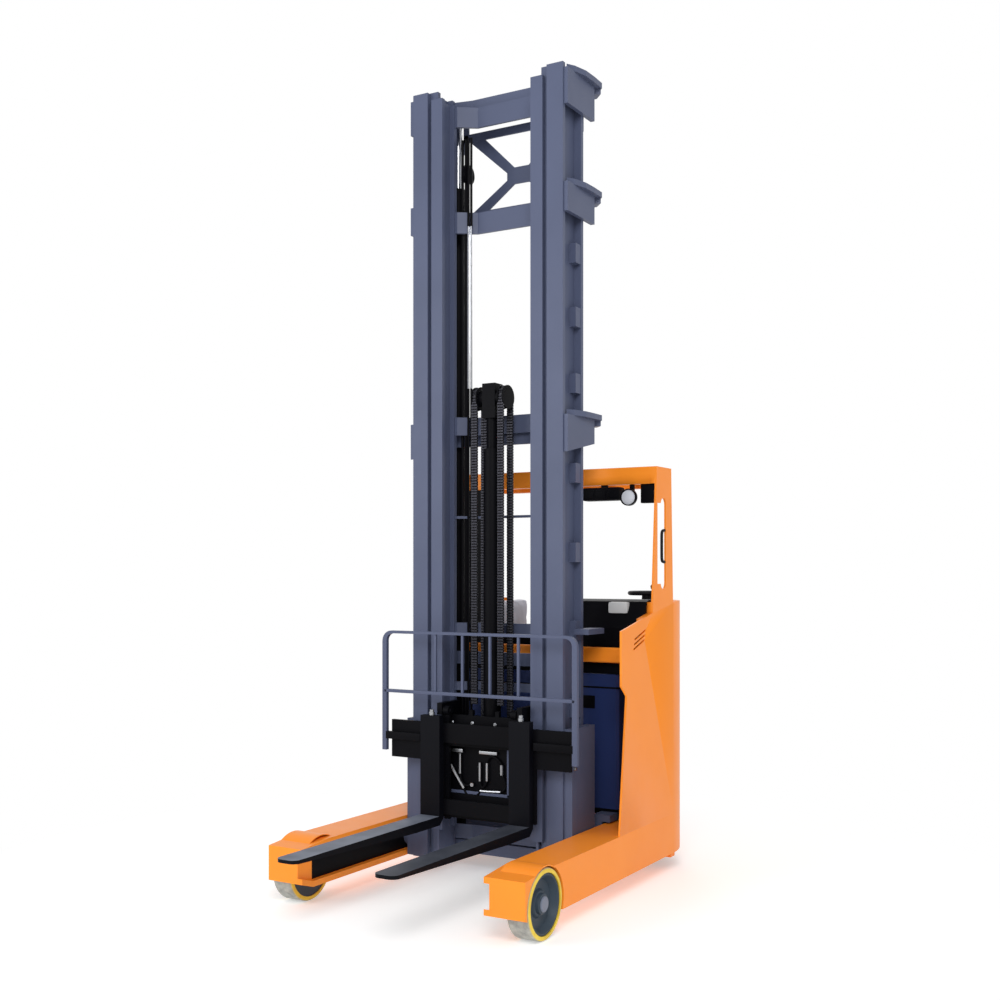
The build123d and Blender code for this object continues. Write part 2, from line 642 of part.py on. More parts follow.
bow_y = back(800)
bow_t = 14
bow_x = middle_x[0] - 82
tie_end = outer_x[0] - move_gap - tiny
middle_bow = [(tie_end, middle_rear), (tie_end, middle_rear + bow_t), (tie_end - 50, middle_rear + bow_t),
              (bow_x, bow_y)]
middle_bow_front = [(bow_x - 6, bow_y - bow_t), (middle_x[0] + 2, middle_rear)]
middle_ties_z = ((middle_top - 105, middle_top - 4), (middle_top - 1665, middle_top - 1595), (1000, 1060), (160, 230))
lift_arm_z = (middle_top - 40, middle_top - 10)
with BuildPart() as middle_ties:
    for z in middle_ties_z:
        plan_plate(mirrored(middle_bow) + mirrored(middle_bow_front[::-1])[::-1], z)
    for x in both((lift_x - lift_rod_r + 2, tie_end)):
        block(x, (middle_rear + tiny, lift_y + lift_rod_r), lift_arm_z)
finish(middle_ties, "middle_ties")

with BuildPart() as lift_rods:
    for side in (1, -1):
        rod_z(side * lift_x, lift_y, lift_rod_r, (saddle_z[1] + 40, lift_arm_z[0]))
finish(lift_rods, "lift_rods")

# Inner stage, with a roller on a plate below each rail and its ties bowed back round the chains
foot_tall = 110
with BuildPart() as inner_rails:
    rail_pair(inner_x, inner_web, (mast_front, inner_rear), (inner_low, inner_top))
    for x in both(inner_web):
        block(x, (mast_front + 10, inner_rear), (inner_low - foot_tall, inner_low + tiny))
    for x in both((inner_web[1] - tiny, middle_web[0] - roller_side)):
        flat_rod_x(rail_mid, inner_low - 65, inner_roller_r, x, roller_sides)
finish(inner_rails, "inner_rails")

free_y = inner_mid
free_barrel_r = 40
free_rod_r = 26
free_low = 640
free_barrel_top = inner_top - 1650
inner_bow_y = back(775)
inner_bow = [(inner_x[0], inner_rear), (inner_x[0] - 86, inner_bow_y)]
inner_bow_front = [(inner_x[0] - 92, inner_bow_y - bow_t), (inner_x[0] - 12, inner_rear - bow_t),
                   (inner_x[0], inner_rear - bow_t)]
inner_ties_z = ((inner_top - 105, inner_top - 10), (inner_top - 610, inner_top - 510), (inner_top - 1570, inner_top - 1485),
                (inner_top - 1966, inner_top - 1954), (free_low + 500, free_low + 560), (free_low + 240, free_low + 280),
                (free_low - 20, free_low + 50))
with BuildPart() as inner_ties:
    for z in inner_ties_z:
        plan_plate(mirrored(inner_bow) + mirrored(inner_bow_front[::-1])[::-1], z)
    block((-36, 36), (free_y - free_barrel_r, inner_bow_y - bow_t + tiny), (free_low - 20, free_low))
    block((-20, 20), (free_y + free_barrel_r + seat_gap, inner_bow_y - bow_t + tiny), (free_low + 510, free_low + 550))
finish(inner_ties, "inner_ties")

with BuildPart() as free_lift_barrel:
    rod_z(0, free_y, free_barrel_r, (free_low, free_barrel_top))
    rod_z(0, free_y, free_rod_r + bore_gap, (free_low + 20, free_barrel_top + tiny), Mode.SUBTRACT)
finish(free_lift_barrel, "free_lift_barrel")

# Free-lift rod with its head, two sheaves and chains. The forks stand raised a little, so the rod is
# out by half of that.
forks_raised = 260
head_low = free_barrel_top + forks_raised / 2 + move_gap + 5
sheave_r = 43
sheave_z = free_barrel_top + 235
chain_x = (60, 80)
chain_t = 16
head_top = free_barrel_top + 300
sheave_side = 6         # chain guide beside each chain
tilt_pin_z = 800
with BuildPart() as free_lift_head:
    rod_z(0, free_y, free_rod_r, (free_low + 30 + forks_raised / 2, head_low + tiny))
    block((-34, 34), (free_y - 36, free_y + 36), (head_low, head_top))
    for x in both((33, chain_x[1] + sheave_side)):
        flat_rod_x(free_y, sheave_z, sheave_r - chain_t / 2, x, hub_sides, to_flats=True)
    for guide in ((chain_x[0] - sheave_side, chain_x[0] - seat_gap), (chain_x[1] + seat_gap, chain_x[1] + sheave_side)):
        for x in both(guide):
            flat_rod_x(free_y, sheave_z, sheave_r + chain_t / 2 + 4, x, roller_sides)
finish(free_lift_head, "free_lift_head")

with BuildPart() as free_lift_chains:
    for x in both(chain_x):
        with BuildSketch(Plane.YZ.offset(x[0])) as view:
            with Locations((free_y, sheave_z)):
                Circle(sheave_r + chain_t / 2)
                Circle(sheave_r - chain_t / 2 + seat_gap, mode=Mode.SUBTRACT)
                with Locations((0, -sheave_r * 2)):
                    Rectangle(sheave_r * 4, sheave_r * 4, mode=Mode.SUBTRACT)
        extrude(view.sketch, amount=x[1] - x[0])
        block(x, (free_y - sheave_r - chain_t / 2, free_y - sheave_r + chain_t / 2 - seat_gap), (tilt_pin_z + 30, sheave_z))
        block(x, (free_y + sheave_r - chain_t / 2 + seat_gap, free_y + sheave_r + chain_t / 2), (150, sheave_z))
finish(free_lift_chains, "free_lift_chains")

# Lift carriage on rollers in the inner rails
carriage_x = (inner_x[0] - 36, inner_x[0] - 2 * move_gap)
carriage_y = (back(578), back(690))
carriage_z = (330, 835)
roller_heights = (545, 785)
top_bar = ((back(578), back(598)), (700, 780))
low_bar = ((back(583), back(598)), (345, 415))
tilt_pin_y = back(553)
tilt_pin_r = 12
lug_r = 20
with BuildPart() as lift_carriage:
    for side in (1, -1):
        plate = (side * carriage_x[0], side * carriage_x[1])
        block(plate, carriage_y, carriage_z)
        block(plate, (tilt_pin_y - lug_r, carriage_y[0] + tiny), (tilt_pin_z - lug_r, carriage_z[1]))
        for height in roller_heights:
            flat_rod_x(inner_mid, height, carriage_roller_r,
                       (side * (inner_x[0] + roller_side), side * (inner_web[0] - roller_side)), roller_sides)
            flat_rod_x(inner_mid, height, roller_pin_r,
                       (side * (carriage_x[1] - tiny), side * (inner_x[0] + roller_side + tiny)), pin_sides)
        rod_x(tilt_pin_y, tilt_pin_z, tilt_pin_r, (side * (carriage_x[0] - 42), side * (carriage_x[0] + tiny)))
        block((side * chain_x[0], side * chain_x[1]), top_bar[0], (top_bar[1][1] - tiny, tilt_pin_z + move_gap))
    block((-carriage_x[0], carriage_x[0]), *top_bar)
    block((-carriage_x[0], carriage_x[0]), *low_bar)
finish(lift_carriage, "lift_carriage")

# Tilting frame, hung from the pins
tilt_y = (back(545), back(561))
tilt_post_x = (carriage_x[0] - 34, carriage_x[0] - 6)
tilt_top_z = (640, 720)
tilt_low_z = (310, 370)
with BuildPart() as tilt_frame:
    for x in both(tilt_post_x):
        block(x, tilt_y, (tilt_low_z[0] - 10, tilt_pin_z + lug_r))
        flat_rod_x(tilt_pin_y, tilt_pin_z, tilt_pin_r + 10, x, roller_sides)
        rod_x(tilt_pin_y, tilt_pin_z, tilt_pin_r + seat_gap, (x[0] - tiny, x[1] + tiny), Mode.SUBTRACT)
    block((-400, 400), tilt_y, tilt_top_z)
    block((-235, 235), tilt_y, tilt_low_z)
finish(tilt_frame, "tilt_frame")

# Side-shift frame on slide pads, with the backrest and the forks hung on it
fork_back = back(523)
shift_y = (fork_back + seat_gap, back(539))
shift_half = 475
shift_top_z = (655, 745)
shift_low_z = (325, 395)
shift_low_half = 300
fork_x = 236
fork_wide = 105
fork_front = back(488)
fork_level = 320
fork_top = 780
blade_t = 42
tip_t = 14
heel_cut = 30
with BuildPart() as shift_frame:
    block((-shift_half, shift_half), shift_y, shift_top_z)
    for x in both((shift_low_half - 10, shift_half)):
        block(x, shift_y, (570, shift_top_z[0] + 5))
    for x in both((fork_x - fork_wide / 2 + 2, shift_low_half)):
        block(x, shift_y, (350, shift_top_z[0] + 5))
    block((-shift_low_half, shift_low_half), shift_y, shift_low_z)
    for x in both((188, 232)):
        for z in ((shift_top_z[0], shift_top_z[0] + 50), (330, 365)):
            block(x, (shift_y[0], tilt_y[0] - seat_gap), z)
finish(shift_frame, "shift_frame")

rest_y = (back(500), fork_back)
rest_half = 515
rest_top = 1165
rest_mid = 883
rest_low = 600
rest_corner = 45
rest_bars = (15, 25)        # top rail and middle rail
rest_side = (28, 45)        # side bars above and below the middle rail
rest_upright = 14
rest_uprights = (-220, -73, 73, 220)
with BuildPart() as load_backrest:
    with BuildSketch(Plane.XZ.offset(-rest_y[0])) as view:
        with Locations((0, (rest_top + rest_low) / 2)):
            RectangleRounded(2 * rest_half, rest_top - rest_low, rest_corner)
            RectangleRounded(2 * (rest_half - rest_side[0]), rest_top - rest_low - 2 * rest_bars[0],
                             rest_corner - rest_bars[0], mode=Mode.SUBTRACT)
        with Locations((0, rest_low)):
            Rectangle(2 * (rest_half - rest_side[0]), 4 * rest_bars[1], mode=Mode.SUBTRACT)
        with Locations((0, rest_mid)):
            Rectangle(2 * rest_half - rest_side[0], rest_bars[1])
        for x in rest_uprights:
            with Locations((x, (rest_top + rest_mid) / 2)):
                Rectangle(rest_upright, rest_top - rest_mid - rest_bars[0])
        for side in (1, -1):
            with Locations((side * (rest_half - rest_side[1] / 2), (rest_mid + rest_low + rest_corner) / 2)):
                Rectangle(rest_side[1], rest_mid - rest_low - rest_corner)
    extrude(view.sketch, amount=-(rest_y[1] - rest_y[0]))
    for x in both((shift_low_half, rest_half - 5)):
        block(x, rest_y, (shift_top_z[0], shift_top_z[0] + 35))
finish(load_backrest, "load_backrest")

for side, name in ((1, "left"), (-1, "right")):
    with BuildPart() as fork:
        outline = [(fork_front, fork_level), (fork_front, fork_top), (fork_back, fork_top),
                   (fork_back, fork_level - blade_t + heel_cut), (fork_back - heel_cut, fork_level - blade_t),
                   (back(300), fork_level - blade_t), (back(-fork_ahead), fork_level - tip_t),
                   (back(-fork_ahead), fork_level)]
        side_plate(outline, (side * (fork_x - fork_wide / 2), side * (fork_x + fork_wide / 2)))
        fillet(fork.edges().filter_by(Axis.Z).group_by(Axis.Y)[0], 34)
    finish(fork, "fork_" + name)
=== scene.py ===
# %% [markdown]
# A reach truck carries pallets in narrow aisles. Its mast slides forward between two straddle legs, and
# the driver sits sideways behind it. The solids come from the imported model, in metres, and this script
# dresses them: it gives each a finish, replaces the plain ones with detailed pieces, and adds the small
# things that the solids leave out. The first cell loads the model and keeps its box.

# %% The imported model
import json
import math

import bmesh
import bpy
from mathutils import Matrix, Vector


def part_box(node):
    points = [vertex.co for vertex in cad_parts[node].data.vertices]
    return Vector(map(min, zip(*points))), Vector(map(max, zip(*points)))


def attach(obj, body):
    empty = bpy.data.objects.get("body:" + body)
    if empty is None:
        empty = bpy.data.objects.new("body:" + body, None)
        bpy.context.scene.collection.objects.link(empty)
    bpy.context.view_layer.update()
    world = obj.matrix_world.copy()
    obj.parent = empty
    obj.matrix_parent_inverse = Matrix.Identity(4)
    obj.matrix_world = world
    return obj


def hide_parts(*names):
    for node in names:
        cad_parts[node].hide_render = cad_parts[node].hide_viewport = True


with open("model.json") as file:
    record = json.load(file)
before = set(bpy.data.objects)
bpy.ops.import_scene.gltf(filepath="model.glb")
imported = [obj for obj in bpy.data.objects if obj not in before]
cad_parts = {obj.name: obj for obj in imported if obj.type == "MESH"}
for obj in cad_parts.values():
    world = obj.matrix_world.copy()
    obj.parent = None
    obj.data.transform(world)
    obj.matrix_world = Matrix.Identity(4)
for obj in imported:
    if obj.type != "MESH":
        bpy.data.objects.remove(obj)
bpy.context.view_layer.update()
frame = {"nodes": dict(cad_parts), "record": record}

# %% [markdown]
# Three small steps come back in many cells: an object is made and linked, a shape under work becomes a mesh,
# and the result of an object's modifiers is kept as a mesh.

# %% Helpers for objects and meshes


def linked(name, data):
    """A new object in the scene."""
    made = bpy.data.objects.new(name, data)
    bpy.context.scene.collection.objects.link(made)
    return made


def mesh_from(name, shape):
    """A mesh from a shape under work, which is freed."""
    mesh = bpy.data.meshes.new(name)
    shape.to_mesh(mesh)
    shape.free()
    return mesh


def result_of(holder):
    """The mesh that an object's modifiers or curve settings give."""
    return bpy.data.meshes.new_from_object(holder.evaluated_get(bpy.context.evaluated_depsgraph_get()))


print("helpers ready")

# %% [markdown]
# The photograph is a long-lens picture taken from the front left, at about the height of a standing
# person's chest. Its vanishing points give the view: the camera is level, and the horizon is a little below
# the middle of the frame, which is a vertical shift of the lens and not a tilt.

# %% Camera
camera_place = Vector((2.93, -4.83, 1.45))
camera_aim = Vector((-0.5075, 0.8616, 0))
camera_data = bpy.data.cameras.new("camera")
camera_data.sensor_fit = "HORIZONTAL"
camera_data.sensor_width = 36
camera_data.lens = 44.46
camera_data.shift_y = 0.07
camera = linked("camera", camera_data)
camera.location = camera_place
camera.rotation_euler = camera_aim.to_track_quat("-Z", "Y").to_euler()
bpy.context.scene.camera = camera
bpy.context.scene.view_settings.view_transform = "Standard"
print("camera at", tuple(camera_place))

# %% [markdown]
# The truck stands on plain white. The floor keeps its shadow where light falls on it, and turns pure white
# away from the truck. Light Path tells what kind of ray asks: the camera, a gloss or a glass sees white,
# while the light that falls on the truck comes from a calmer grey world and a few large lamps.

# %% Floor, world and lamps
floor_half = 40


def node(tree, kind, place=(0, 0), **values):
    """A new shader node with its settings and input values filled in."""
    made = tree.nodes.new(kind)
    made.location = place
    for key, value in values.items():
        if key in made.inputs:
            made.inputs[key].default_value = value
        else:
            setattr(made, key, value)
    return made


world = bpy.data.worlds.new("studio")
bpy.context.scene.world = world
world.use_nodes = True
sky = world.node_tree
sky.nodes.clear()
sky_light = node(sky, "ShaderNodeBackground", Color=(1, 1, 1, 1), Strength=0.55)
sky_seen = node(sky, "ShaderNodeBackground", Color=(1, 1, 1, 1), Strength=1.0)
ray = node(sky, "ShaderNodeLightPath")
seen = node(sky, "ShaderNodeMath", operation="MAXIMUM")
seen_through = node(sky, "ShaderNodeMath", operation="MAXIMUM")
sky_mix = node(sky, "ShaderNodeMixShader")
sky_out = node(sky, "ShaderNodeOutputWorld")
sky.links.new(ray.outputs["Is Camera Ray"], seen.inputs[0])
sky.links.new(ray.outputs["Is Glossy Ray"], seen.inputs[1])
sky.links.new(seen.outputs[0], seen_through.inputs[0])
sky.links.new(ray.outputs["Is Transmission Ray"], seen_through.inputs[1])
sky.links.new(seen_through.outputs[0], sky_mix.inputs[0])
sky.links.new(sky_light.outputs[0], sky_mix.inputs[1])
sky.links.new(sky_seen.outputs[0], sky_mix.inputs[2])
sky.links.new(sky_mix.outputs[0], sky_out.inputs[0])

floor_mesh = bpy.data.meshes.new("floor")
floor_mesh.from_pydata([(-floor_half, -floor_half, 0), (floor_half, -floor_half, 0),
                        (floor_half, floor_half, 0), (-floor_half, floor_half, 0)], [], [(0, 1, 2, 3)])
floor = linked("floor", floor_mesh)
floor_paint = bpy.data.materials.new("floor_white")
floor_paint.use_nodes = True
floor_tree = floor_paint.node_tree
floor_tree.nodes.clear()
floor_matt = node(floor_tree, "ShaderNodeBsdfDiffuse", Color=(0.9, 0.9, 0.9, 1))
floor_glow = node(floor_tree, "ShaderNodeEmission", Color=(1, 1, 1, 1), Strength=0.34)
floor_sum = node(floor_tree, "ShaderNodeAddShader")
floor_white = node(floor_tree, "ShaderNodeEmission", Color=(1, 1, 1, 1), Strength=1.0)
floor_place = node(floor_tree, "ShaderNodeNewGeometry")
floor_far = node(floor_tree, "ShaderNodeVectorMath", operation="LENGTH")
floor_fade = node(floor_tree, "ShaderNodeMapRange")
floor_fade.inputs["From Min"].default_value = 1.2
floor_fade.inputs["From Max"].default_value = 2.6
floor_mix = node(floor_tree, "ShaderNodeMixShader")
floor_out = node(floor_tree, "ShaderNodeOutputMaterial")
floor_tree.links.new(floor_place.outputs["Position"], floor_far.inputs[0])
floor_tree.links.new(floor_far.outputs["Value"], floor_fade.inputs["Value"])
floor_tree.links.new(floor_matt.outputs[0], floor_sum.inputs[0])
floor_tree.links.new(floor_glow.outputs[0], floor_sum.inputs[1])
floor_tree.links.new(floor_fade.outputs[0], floor_mix.inputs[0])
floor_tree.links.new(floor_sum.outputs[0], floor_mix.inputs[1])
floor_tree.links.new(floor_white.outputs[0], floor_mix.inputs[2])
floor_tree.links.new(floor_mix.outputs[0], floor_out.inputs[0])
floor_mesh.materials.append(floor_paint)

lamps = (
    # name, place, aimed at, size, watts
    ("key", (3.2, -5.6, 5.0), (0, 0, 1.2), 3.0, 240),
    ("front", (-3.5, -6.0, 3.0), (0, 0, 1.5), 3.5, 120),
    ("rear", (-2.5, 5.0, 4.5), (0, 0, 1.5), 3.0, 50),
)
for lamp_name, place, aim, size, watts in lamps:
    lamp_data = bpy.data.lights.new(lamp_name, "AREA")
    lamp_data.shape = "DISK"
    lamp_data.size = size
    lamp_data.energy = watts
    lamp = linked(lamp_name, lamp_data)
    lamp.location = place
    lamp.rotation_euler = (Vector(aim) - Vector(place)).to_track_quat("-Z", "Y").to_euler()
print("lamps", [lamp[0] for lamp in lamps])

# %% [markdown]
# Most of the truck is sprayed enamel over welded steel. Enamel is nearly even in colour, with a faint
# mottle, a slight orange-peel ripple that shows in its gloss, a coat that shines, and some dust low down.
# One function makes each enamel, a second makes bare metal with its brushed grain, and a third makes the
# forks' paint, which loads have rubbed down, with a painted highlight on the blades' upward faces.

# %% Finishes


def linear(red, green, blue):
    """A screen colour of 0 to 255 as the linear colour that a shader reads."""
    parts = [c / 255 for c in (red, green, blue)]
    return tuple(c / 12.92 if c <= 0.04045 else ((c + 0.055) / 1.055) ** 2.4 for c in parts) + (1,)


def new_finish(name):
    """An empty material with a Principled shader, and the object's own coordinates to read."""
    made = bpy.data.materials.new(name)
    made.use_nodes = True
    tree = made.node_tree
    shader = tree.nodes["Principled BSDF"]
    where = node(tree, "ShaderNodeTexCoord", (-1200, 0))
    return made, tree, shader, where.outputs["Object"]


def mottle(tree, where, scale, detail=3.0):
    """A soft noise from 0 to 1 that reads a place."""
    grain = node(tree, "ShaderNodeTexNoise", (-900, 0), Scale=scale, Detail=detail)
    tree.links.new(where, grain.inputs["Vector"])
    return grain.outputs["Fac"]


def ramp(tree, value, stops):
    """A colour ramp over a value, from a list of (place, colour)."""
    made = node(tree, "ShaderNodeValToRGB", (-600, 0))
    made.color_ramp.elements[0].position, made.color_ramp.elements[0].color = stops[0]
    made.color_ramp.elements[1].position, made.color_ramp.elements[1].color = stops[-1]
    for place, colour in stops[1:-1]:
        made.color_ramp.elements.new(place).color = colour
    tree.links.new(value, made.inputs["Fac"])
    return made.outputs["Color"]


def blend(tree, share, low, high):
    """One colour over another, by a share that is a number or a socket."""
    made = node(tree, "ShaderNodeMix", (-400, 0), data_type="RGBA", blend_type="MIX")
    for value, socket in ((share, made.inputs[0]), (low, made.inputs[6]), (high, made.inputs[7])):
        if isinstance(value, bpy.types.NodeSocket):
            tree.links.new(value, socket)
        else:
            socket.default_value = value
    return made.outputs[2]


def bump(tree, shader, height, strength, distance=0.001):
    """A bump from a height, on a shader."""
    made = node(tree, "ShaderNodeBump", (-300, -400), Strength=strength, Distance=distance)
    tree.links.new(height, made.inputs["Height"])
    tree.links.new(made.outputs["Normal"], shader.inputs["Normal"])


def enamel(name, colour, rough=0.38, coat=0.25, change=0.12, dust=0.10, gloss=0.5):
    """Sprayed enamel with a faint mottle, an orange-peel ripple and a little dust near the floor."""
    made, tree, shader, where = new_finish(name)
    base = linear(*colour)
    dark = tuple(c * (1 - change) for c in base[:3]) + (1,)
    pale = tuple(min(1, c * (1 + change)) for c in base[:3]) + (1,)
    mixed = ramp(tree, mottle(tree, where, 2.5), [(0.3, dark), (0.7, pale)])
    parts = node(tree, "ShaderNodeSeparateXYZ", (-900, -300))
    tree.links.new(where, parts.inputs[0])
    low = node(tree, "ShaderNodeMapRange", (-700, -300))
    low.inputs["From Min"].default_value = 0.5
    low.inputs["From Max"].default_value = 0.0
    low.inputs["To Max"].default_value = dust
    tree.links.new(parts.outputs["Z"], low.inputs["Value"])
    tree.links.new(blend(tree, low.outputs[0], mixed, linear(120, 110, 100)), shader.inputs["Base Color"])
    wear = node(tree, "ShaderNodeMapRange", (-700, -600))
    wear.inputs["To Min"].default_value = rough - 0.06
    wear.inputs["To Max"].default_value = rough + 0.10
    tree.links.new(mottle(tree, where, 9, 5), wear.inputs["Value"])
    tree.links.new(wear.outputs[0], shader.inputs["Roughness"])
    shader.inputs["Coat Weight"].default_value = coat
    shader.inputs["Coat Roughness"].default_value = 0.2
    shader.inputs["Specular IOR Level"].default_value = gloss
    bump(tree, shader, mottle(tree, where, 260, 2), 0.12, 0.0006)
    return made


def bare_metal(name, colour, rough=0.3, stretch=(1, 1, 12), depth=0.15):
    """Metal with a grain that runs across the direction with the largest stretch."""
    made, tree, shader, where = new_finish(name)
    turn = node(tree, "ShaderNodeMapping", (-1000, 0))
    turn.inputs["Scale"].default_value = stretch
    tree.links.new(where, turn.inputs["Vector"])
    grain = mottle(tree, turn.outputs["Vector"], 60, 4)
    base = linear(*colour)
    dark = tuple(c * 0.75 for c in base[:3]) + (1,)
    tree.links.new(ramp(tree, grain, [(0.3, dark), (0.7, base)]), shader.inputs["Base Color"])
    wear = node(tree, "ShaderNodeMapRange", (-700, -600))
    wear.inputs["To Min"].default_value = rough * 0.7
    wear.inputs["To Max"].default_value = rough * 1.4
    tree.links.new(grain, wear.inputs["Value"])
    tree.links.new(wear.outputs[0], shader.inputs["Roughness"])
    shader.inputs["Metallic"].default_value = 1.0
    bump(tree, shader, grain, depth, 0.0004)
    return made


def rubbed_and_highlit_fork(name):
    """Near-black paint that turns slate grey on the blades' upward faces, the right one more: partly paint
    rubbed down by loads, partly a painted highlight.
    """
    made, tree, shader, where = new_finish(name)
    parts = node(tree, "ShaderNodeSeparateXYZ", (-900, -300))
    tree.links.new(where, parts.inputs[0])
    low = node(tree, "ShaderNodeMath", (-700, -300), operation="LESS_THAN")
    low.inputs[1].default_value = 0.33
    tree.links.new(parts.outputs["Z"], low.inputs[0])
    facing = node(tree, "ShaderNodeNewGeometry", (-1100, 400))
    upward = node(tree, "ShaderNodeSeparateXYZ", (-900, 400))
    tree.links.new(facing.outputs["True Normal"], upward.inputs[0])
    share = node(tree, "ShaderNodeMapRange", (-700, 400))
    share.inputs["From Min"].default_value = 0.55
    share.inputs["From Max"].default_value = 0.9
    tree.links.new(upward.outputs["Z"], share.inputs["Value"])
    side_rub_and_highlight = node(tree, "ShaderNodeMapRange", (-700, 100))
    side_rub_and_highlight.inputs["From Min"].default_value = 0.1
    side_rub_and_highlight.inputs["From Max"].default_value = -0.1
    side_rub_and_highlight.inputs["To Min"].default_value = 0.3
    tree.links.new(parts.outputs["X"], side_rub_and_highlight.inputs["Value"])
    spread = node(tree, "ShaderNodeMath", (-600, 100), operation="MULTIPLY")
    tree.links.new(low.outputs[0], spread.inputs[0])
    tree.links.new(side_rub_and_highlight.outputs[0], spread.inputs[1])
    rubbed_and_highlit_share = node(tree, "ShaderNodeMath", (-500, 200), operation="MULTIPLY")
    tree.links.new(spread.outputs[0], rubbed_and_highlit_share.inputs[0])
    tree.links.new(share.outputs[0], rubbed_and_highlit_share.inputs[1])
    # Slate grey on the blades' upward faces: rubbed paint and a painted highlight.
    rubbed_and_highlit_tone = ramp(tree, mottle(tree, where, 11, 6), [(0.25, linear(84, 90, 104)), (0.7, linear(122, 128, 142))])
    tree.links.new(blend(tree, rubbed_and_highlit_share.outputs[0], linear(9, 10, 16), rubbed_and_highlit_tone), shader.inputs["Base Color"])
    wear = node(tree, "ShaderNodeMapRange", (-700, -600))
    wear.inputs["To Min"].default_value = 0.34
    wear.inputs["To Max"].default_value = 0.56
    tree.links.new(mottle(tree, where, 22, 5), wear.inputs["Value"])
    tree.links.new(wear.outputs[0], shader.inputs["Roughness"])
    shader.inputs["Specular IOR Level"].default_value = 0.08
    bump(tree, shader, mottle(tree, where, 200, 3), 0.15, 0.0006)
    return made


finishes = {
    "orange": enamel("orange_enamel", (255, 146, 42), 0.36, coat=0.08, change=0.04, dust=0.04, gloss=0.15),
    "mast": enamel("slate_enamel", (80, 87, 111), rough=0.42, coat=0.04, change=0.06, dust=0.03, gloss=0.2),
    "black": enamel("black_enamel", (8, 8, 12), rough=0.45, coat=0.0, change=0.2, dust=0.01, gloss=0.06),
    "navy": enamel("navy_enamel", (38, 52, 98), rough=0.34, coat=0.0, change=0.12, dust=0.02, gloss=0.15),
    "fork": rubbed_and_highlit_fork("fork_enamel"),
    "chain": bare_metal("oiled_chain", (58, 58, 64), rough=0.42),
    "rod": bare_metal("hard_chrome", (205, 207, 212), rough=0.12, depth=0.04),
    "steel": bare_metal("bright_steel", (170, 172, 176), rough=0.3),
    "tyre": enamel("yellow_tyre", (228, 212, 84), rough=0.5, coat=0.0, change=0.12, gloss=0.2),
    "hub": enamel("hub_enamel", (46, 62, 76), rough=0.45, coat=0.0, change=0.2, gloss=0.2),
    "seat": enamel("plain_vinyl", (60, 60, 64), rough=0.55, coat=0.0, change=0.1),
    "wheel_grip": enamel("moulded_grip", (20, 20, 23), rough=0.5, coat=0.0, change=0.2, gloss=0.15),
}
print("finishes", sorted(finishes))

# %% [markdown]
# Each solid names its material slot in the record, and takes that slot's finish.

# %% Finishes on the solids
node_slots = {part["node"]: part["material_slot"] for part in frame["record"]["subparts"]}
for node_name, shown in frame["nodes"].items():
    shown.data.materials.clear()
    shown.data.materials.append(finishes[node_slots[node_name]])
print("finished nodes", len(node_slots))

# %% [markdown]
# The small things are built in mesh code. These helpers turn a section round an axis, make a block with
# soft edges and bend a pipe. Each piece's mesh lies where the truck's own places say, so its object stays
# at the origin, and then it rides on one body of the truck.

# %% Helpers for pieces
axle_place = -0.58


def back(distance):
    """The place on Y this many millimetres behind the load axle."""
    return axle_place + distance / 1000


def turned(shape, section, place, axis="X", steps=48, closed=False):
    """A section of (along, radius) points turned round an axis through a place."""
    rings = []
    for step in range(steps):
        angle = 2 * math.pi * step / steps
        side, up = math.cos(angle), math.sin(angle)
        ring = []
        for along, radius in section:
            if axis == "X":
                spot = (along, place[0] + radius * side, place[1] + radius * up)
            elif axis == "Y":
                spot = (place[0] + radius * side, along, place[1] + radius * up)
            else:
                spot = (place[0] + radius * side, place[1] + radius * up, along)
            ring.append(shape.verts.new(spot))
        rings.append(ring)
    count = len(section)
    for step in range(steps):
        this, following = rings[step], rings[(step + 1) % steps]
        for spot in range(count if closed else count - 1):
            after = (spot + 1) % count
            shape.faces.new((this[spot], this[after], following[after], following[spot]))


def block_place(low, high, turn=None):
    """The matrix that takes a unit cube to the block between two corners, turned if asked."""
    middle = (Vector(low) + Vector(high)) / 2
    size = Vector(high) - Vector(low)
    return Matrix.Translation(middle) @ (turn or Matrix.Identity(4)) @ Matrix.Diagonal((*size, 1))


def on_side(side, near, far):
    """Two distances from the middle plane as X values in order, on the side 1 or -1."""
    return sorted((side * near, side * far))


def soft_block(shape, low, high, edge=0.002, turn=None):
    """A block between two corners with bevelled edges, turned about its middle if asked."""
    size = Vector(high) - Vector(low)
    made = bmesh.ops.create_cube(shape, size=1, matrix=block_place(low, high, turn))["verts"]
    edges = {line for corner in made for line in corner.link_edges}
    bmesh.ops.bevel(shape, geom=list(edges), offset=min(edge, min(size) * 0.4), segments=2, affect="EDGES",
                    profile=0.7)


def bent_pipe(shape, points, radius, sides=4):
    """A round pipe along a smooth line through points, with its ends closed."""
    line = bpy.data.curves.new("pipe_line", "CURVE")
    line.dimensions = "3D"
    run = line.splines.new("NURBS")
    run.points.add(len(points) - 1)
    for point, spot in zip(run.points, points):
        point.co = (*spot, 1)
    run.order_u = 3
    run.use_endpoint_u = True
    run.resolution_u = 6
    line.bevel_depth = radius
    line.bevel_resolution = sides
    line.use_fill_caps = True
    holder = linked("pipe_line", line)
    mesh = result_of(holder)
    shape.from_mesh(mesh)
    bpy.data.objects.remove(holder)
    bpy.data.meshes.remove(mesh)


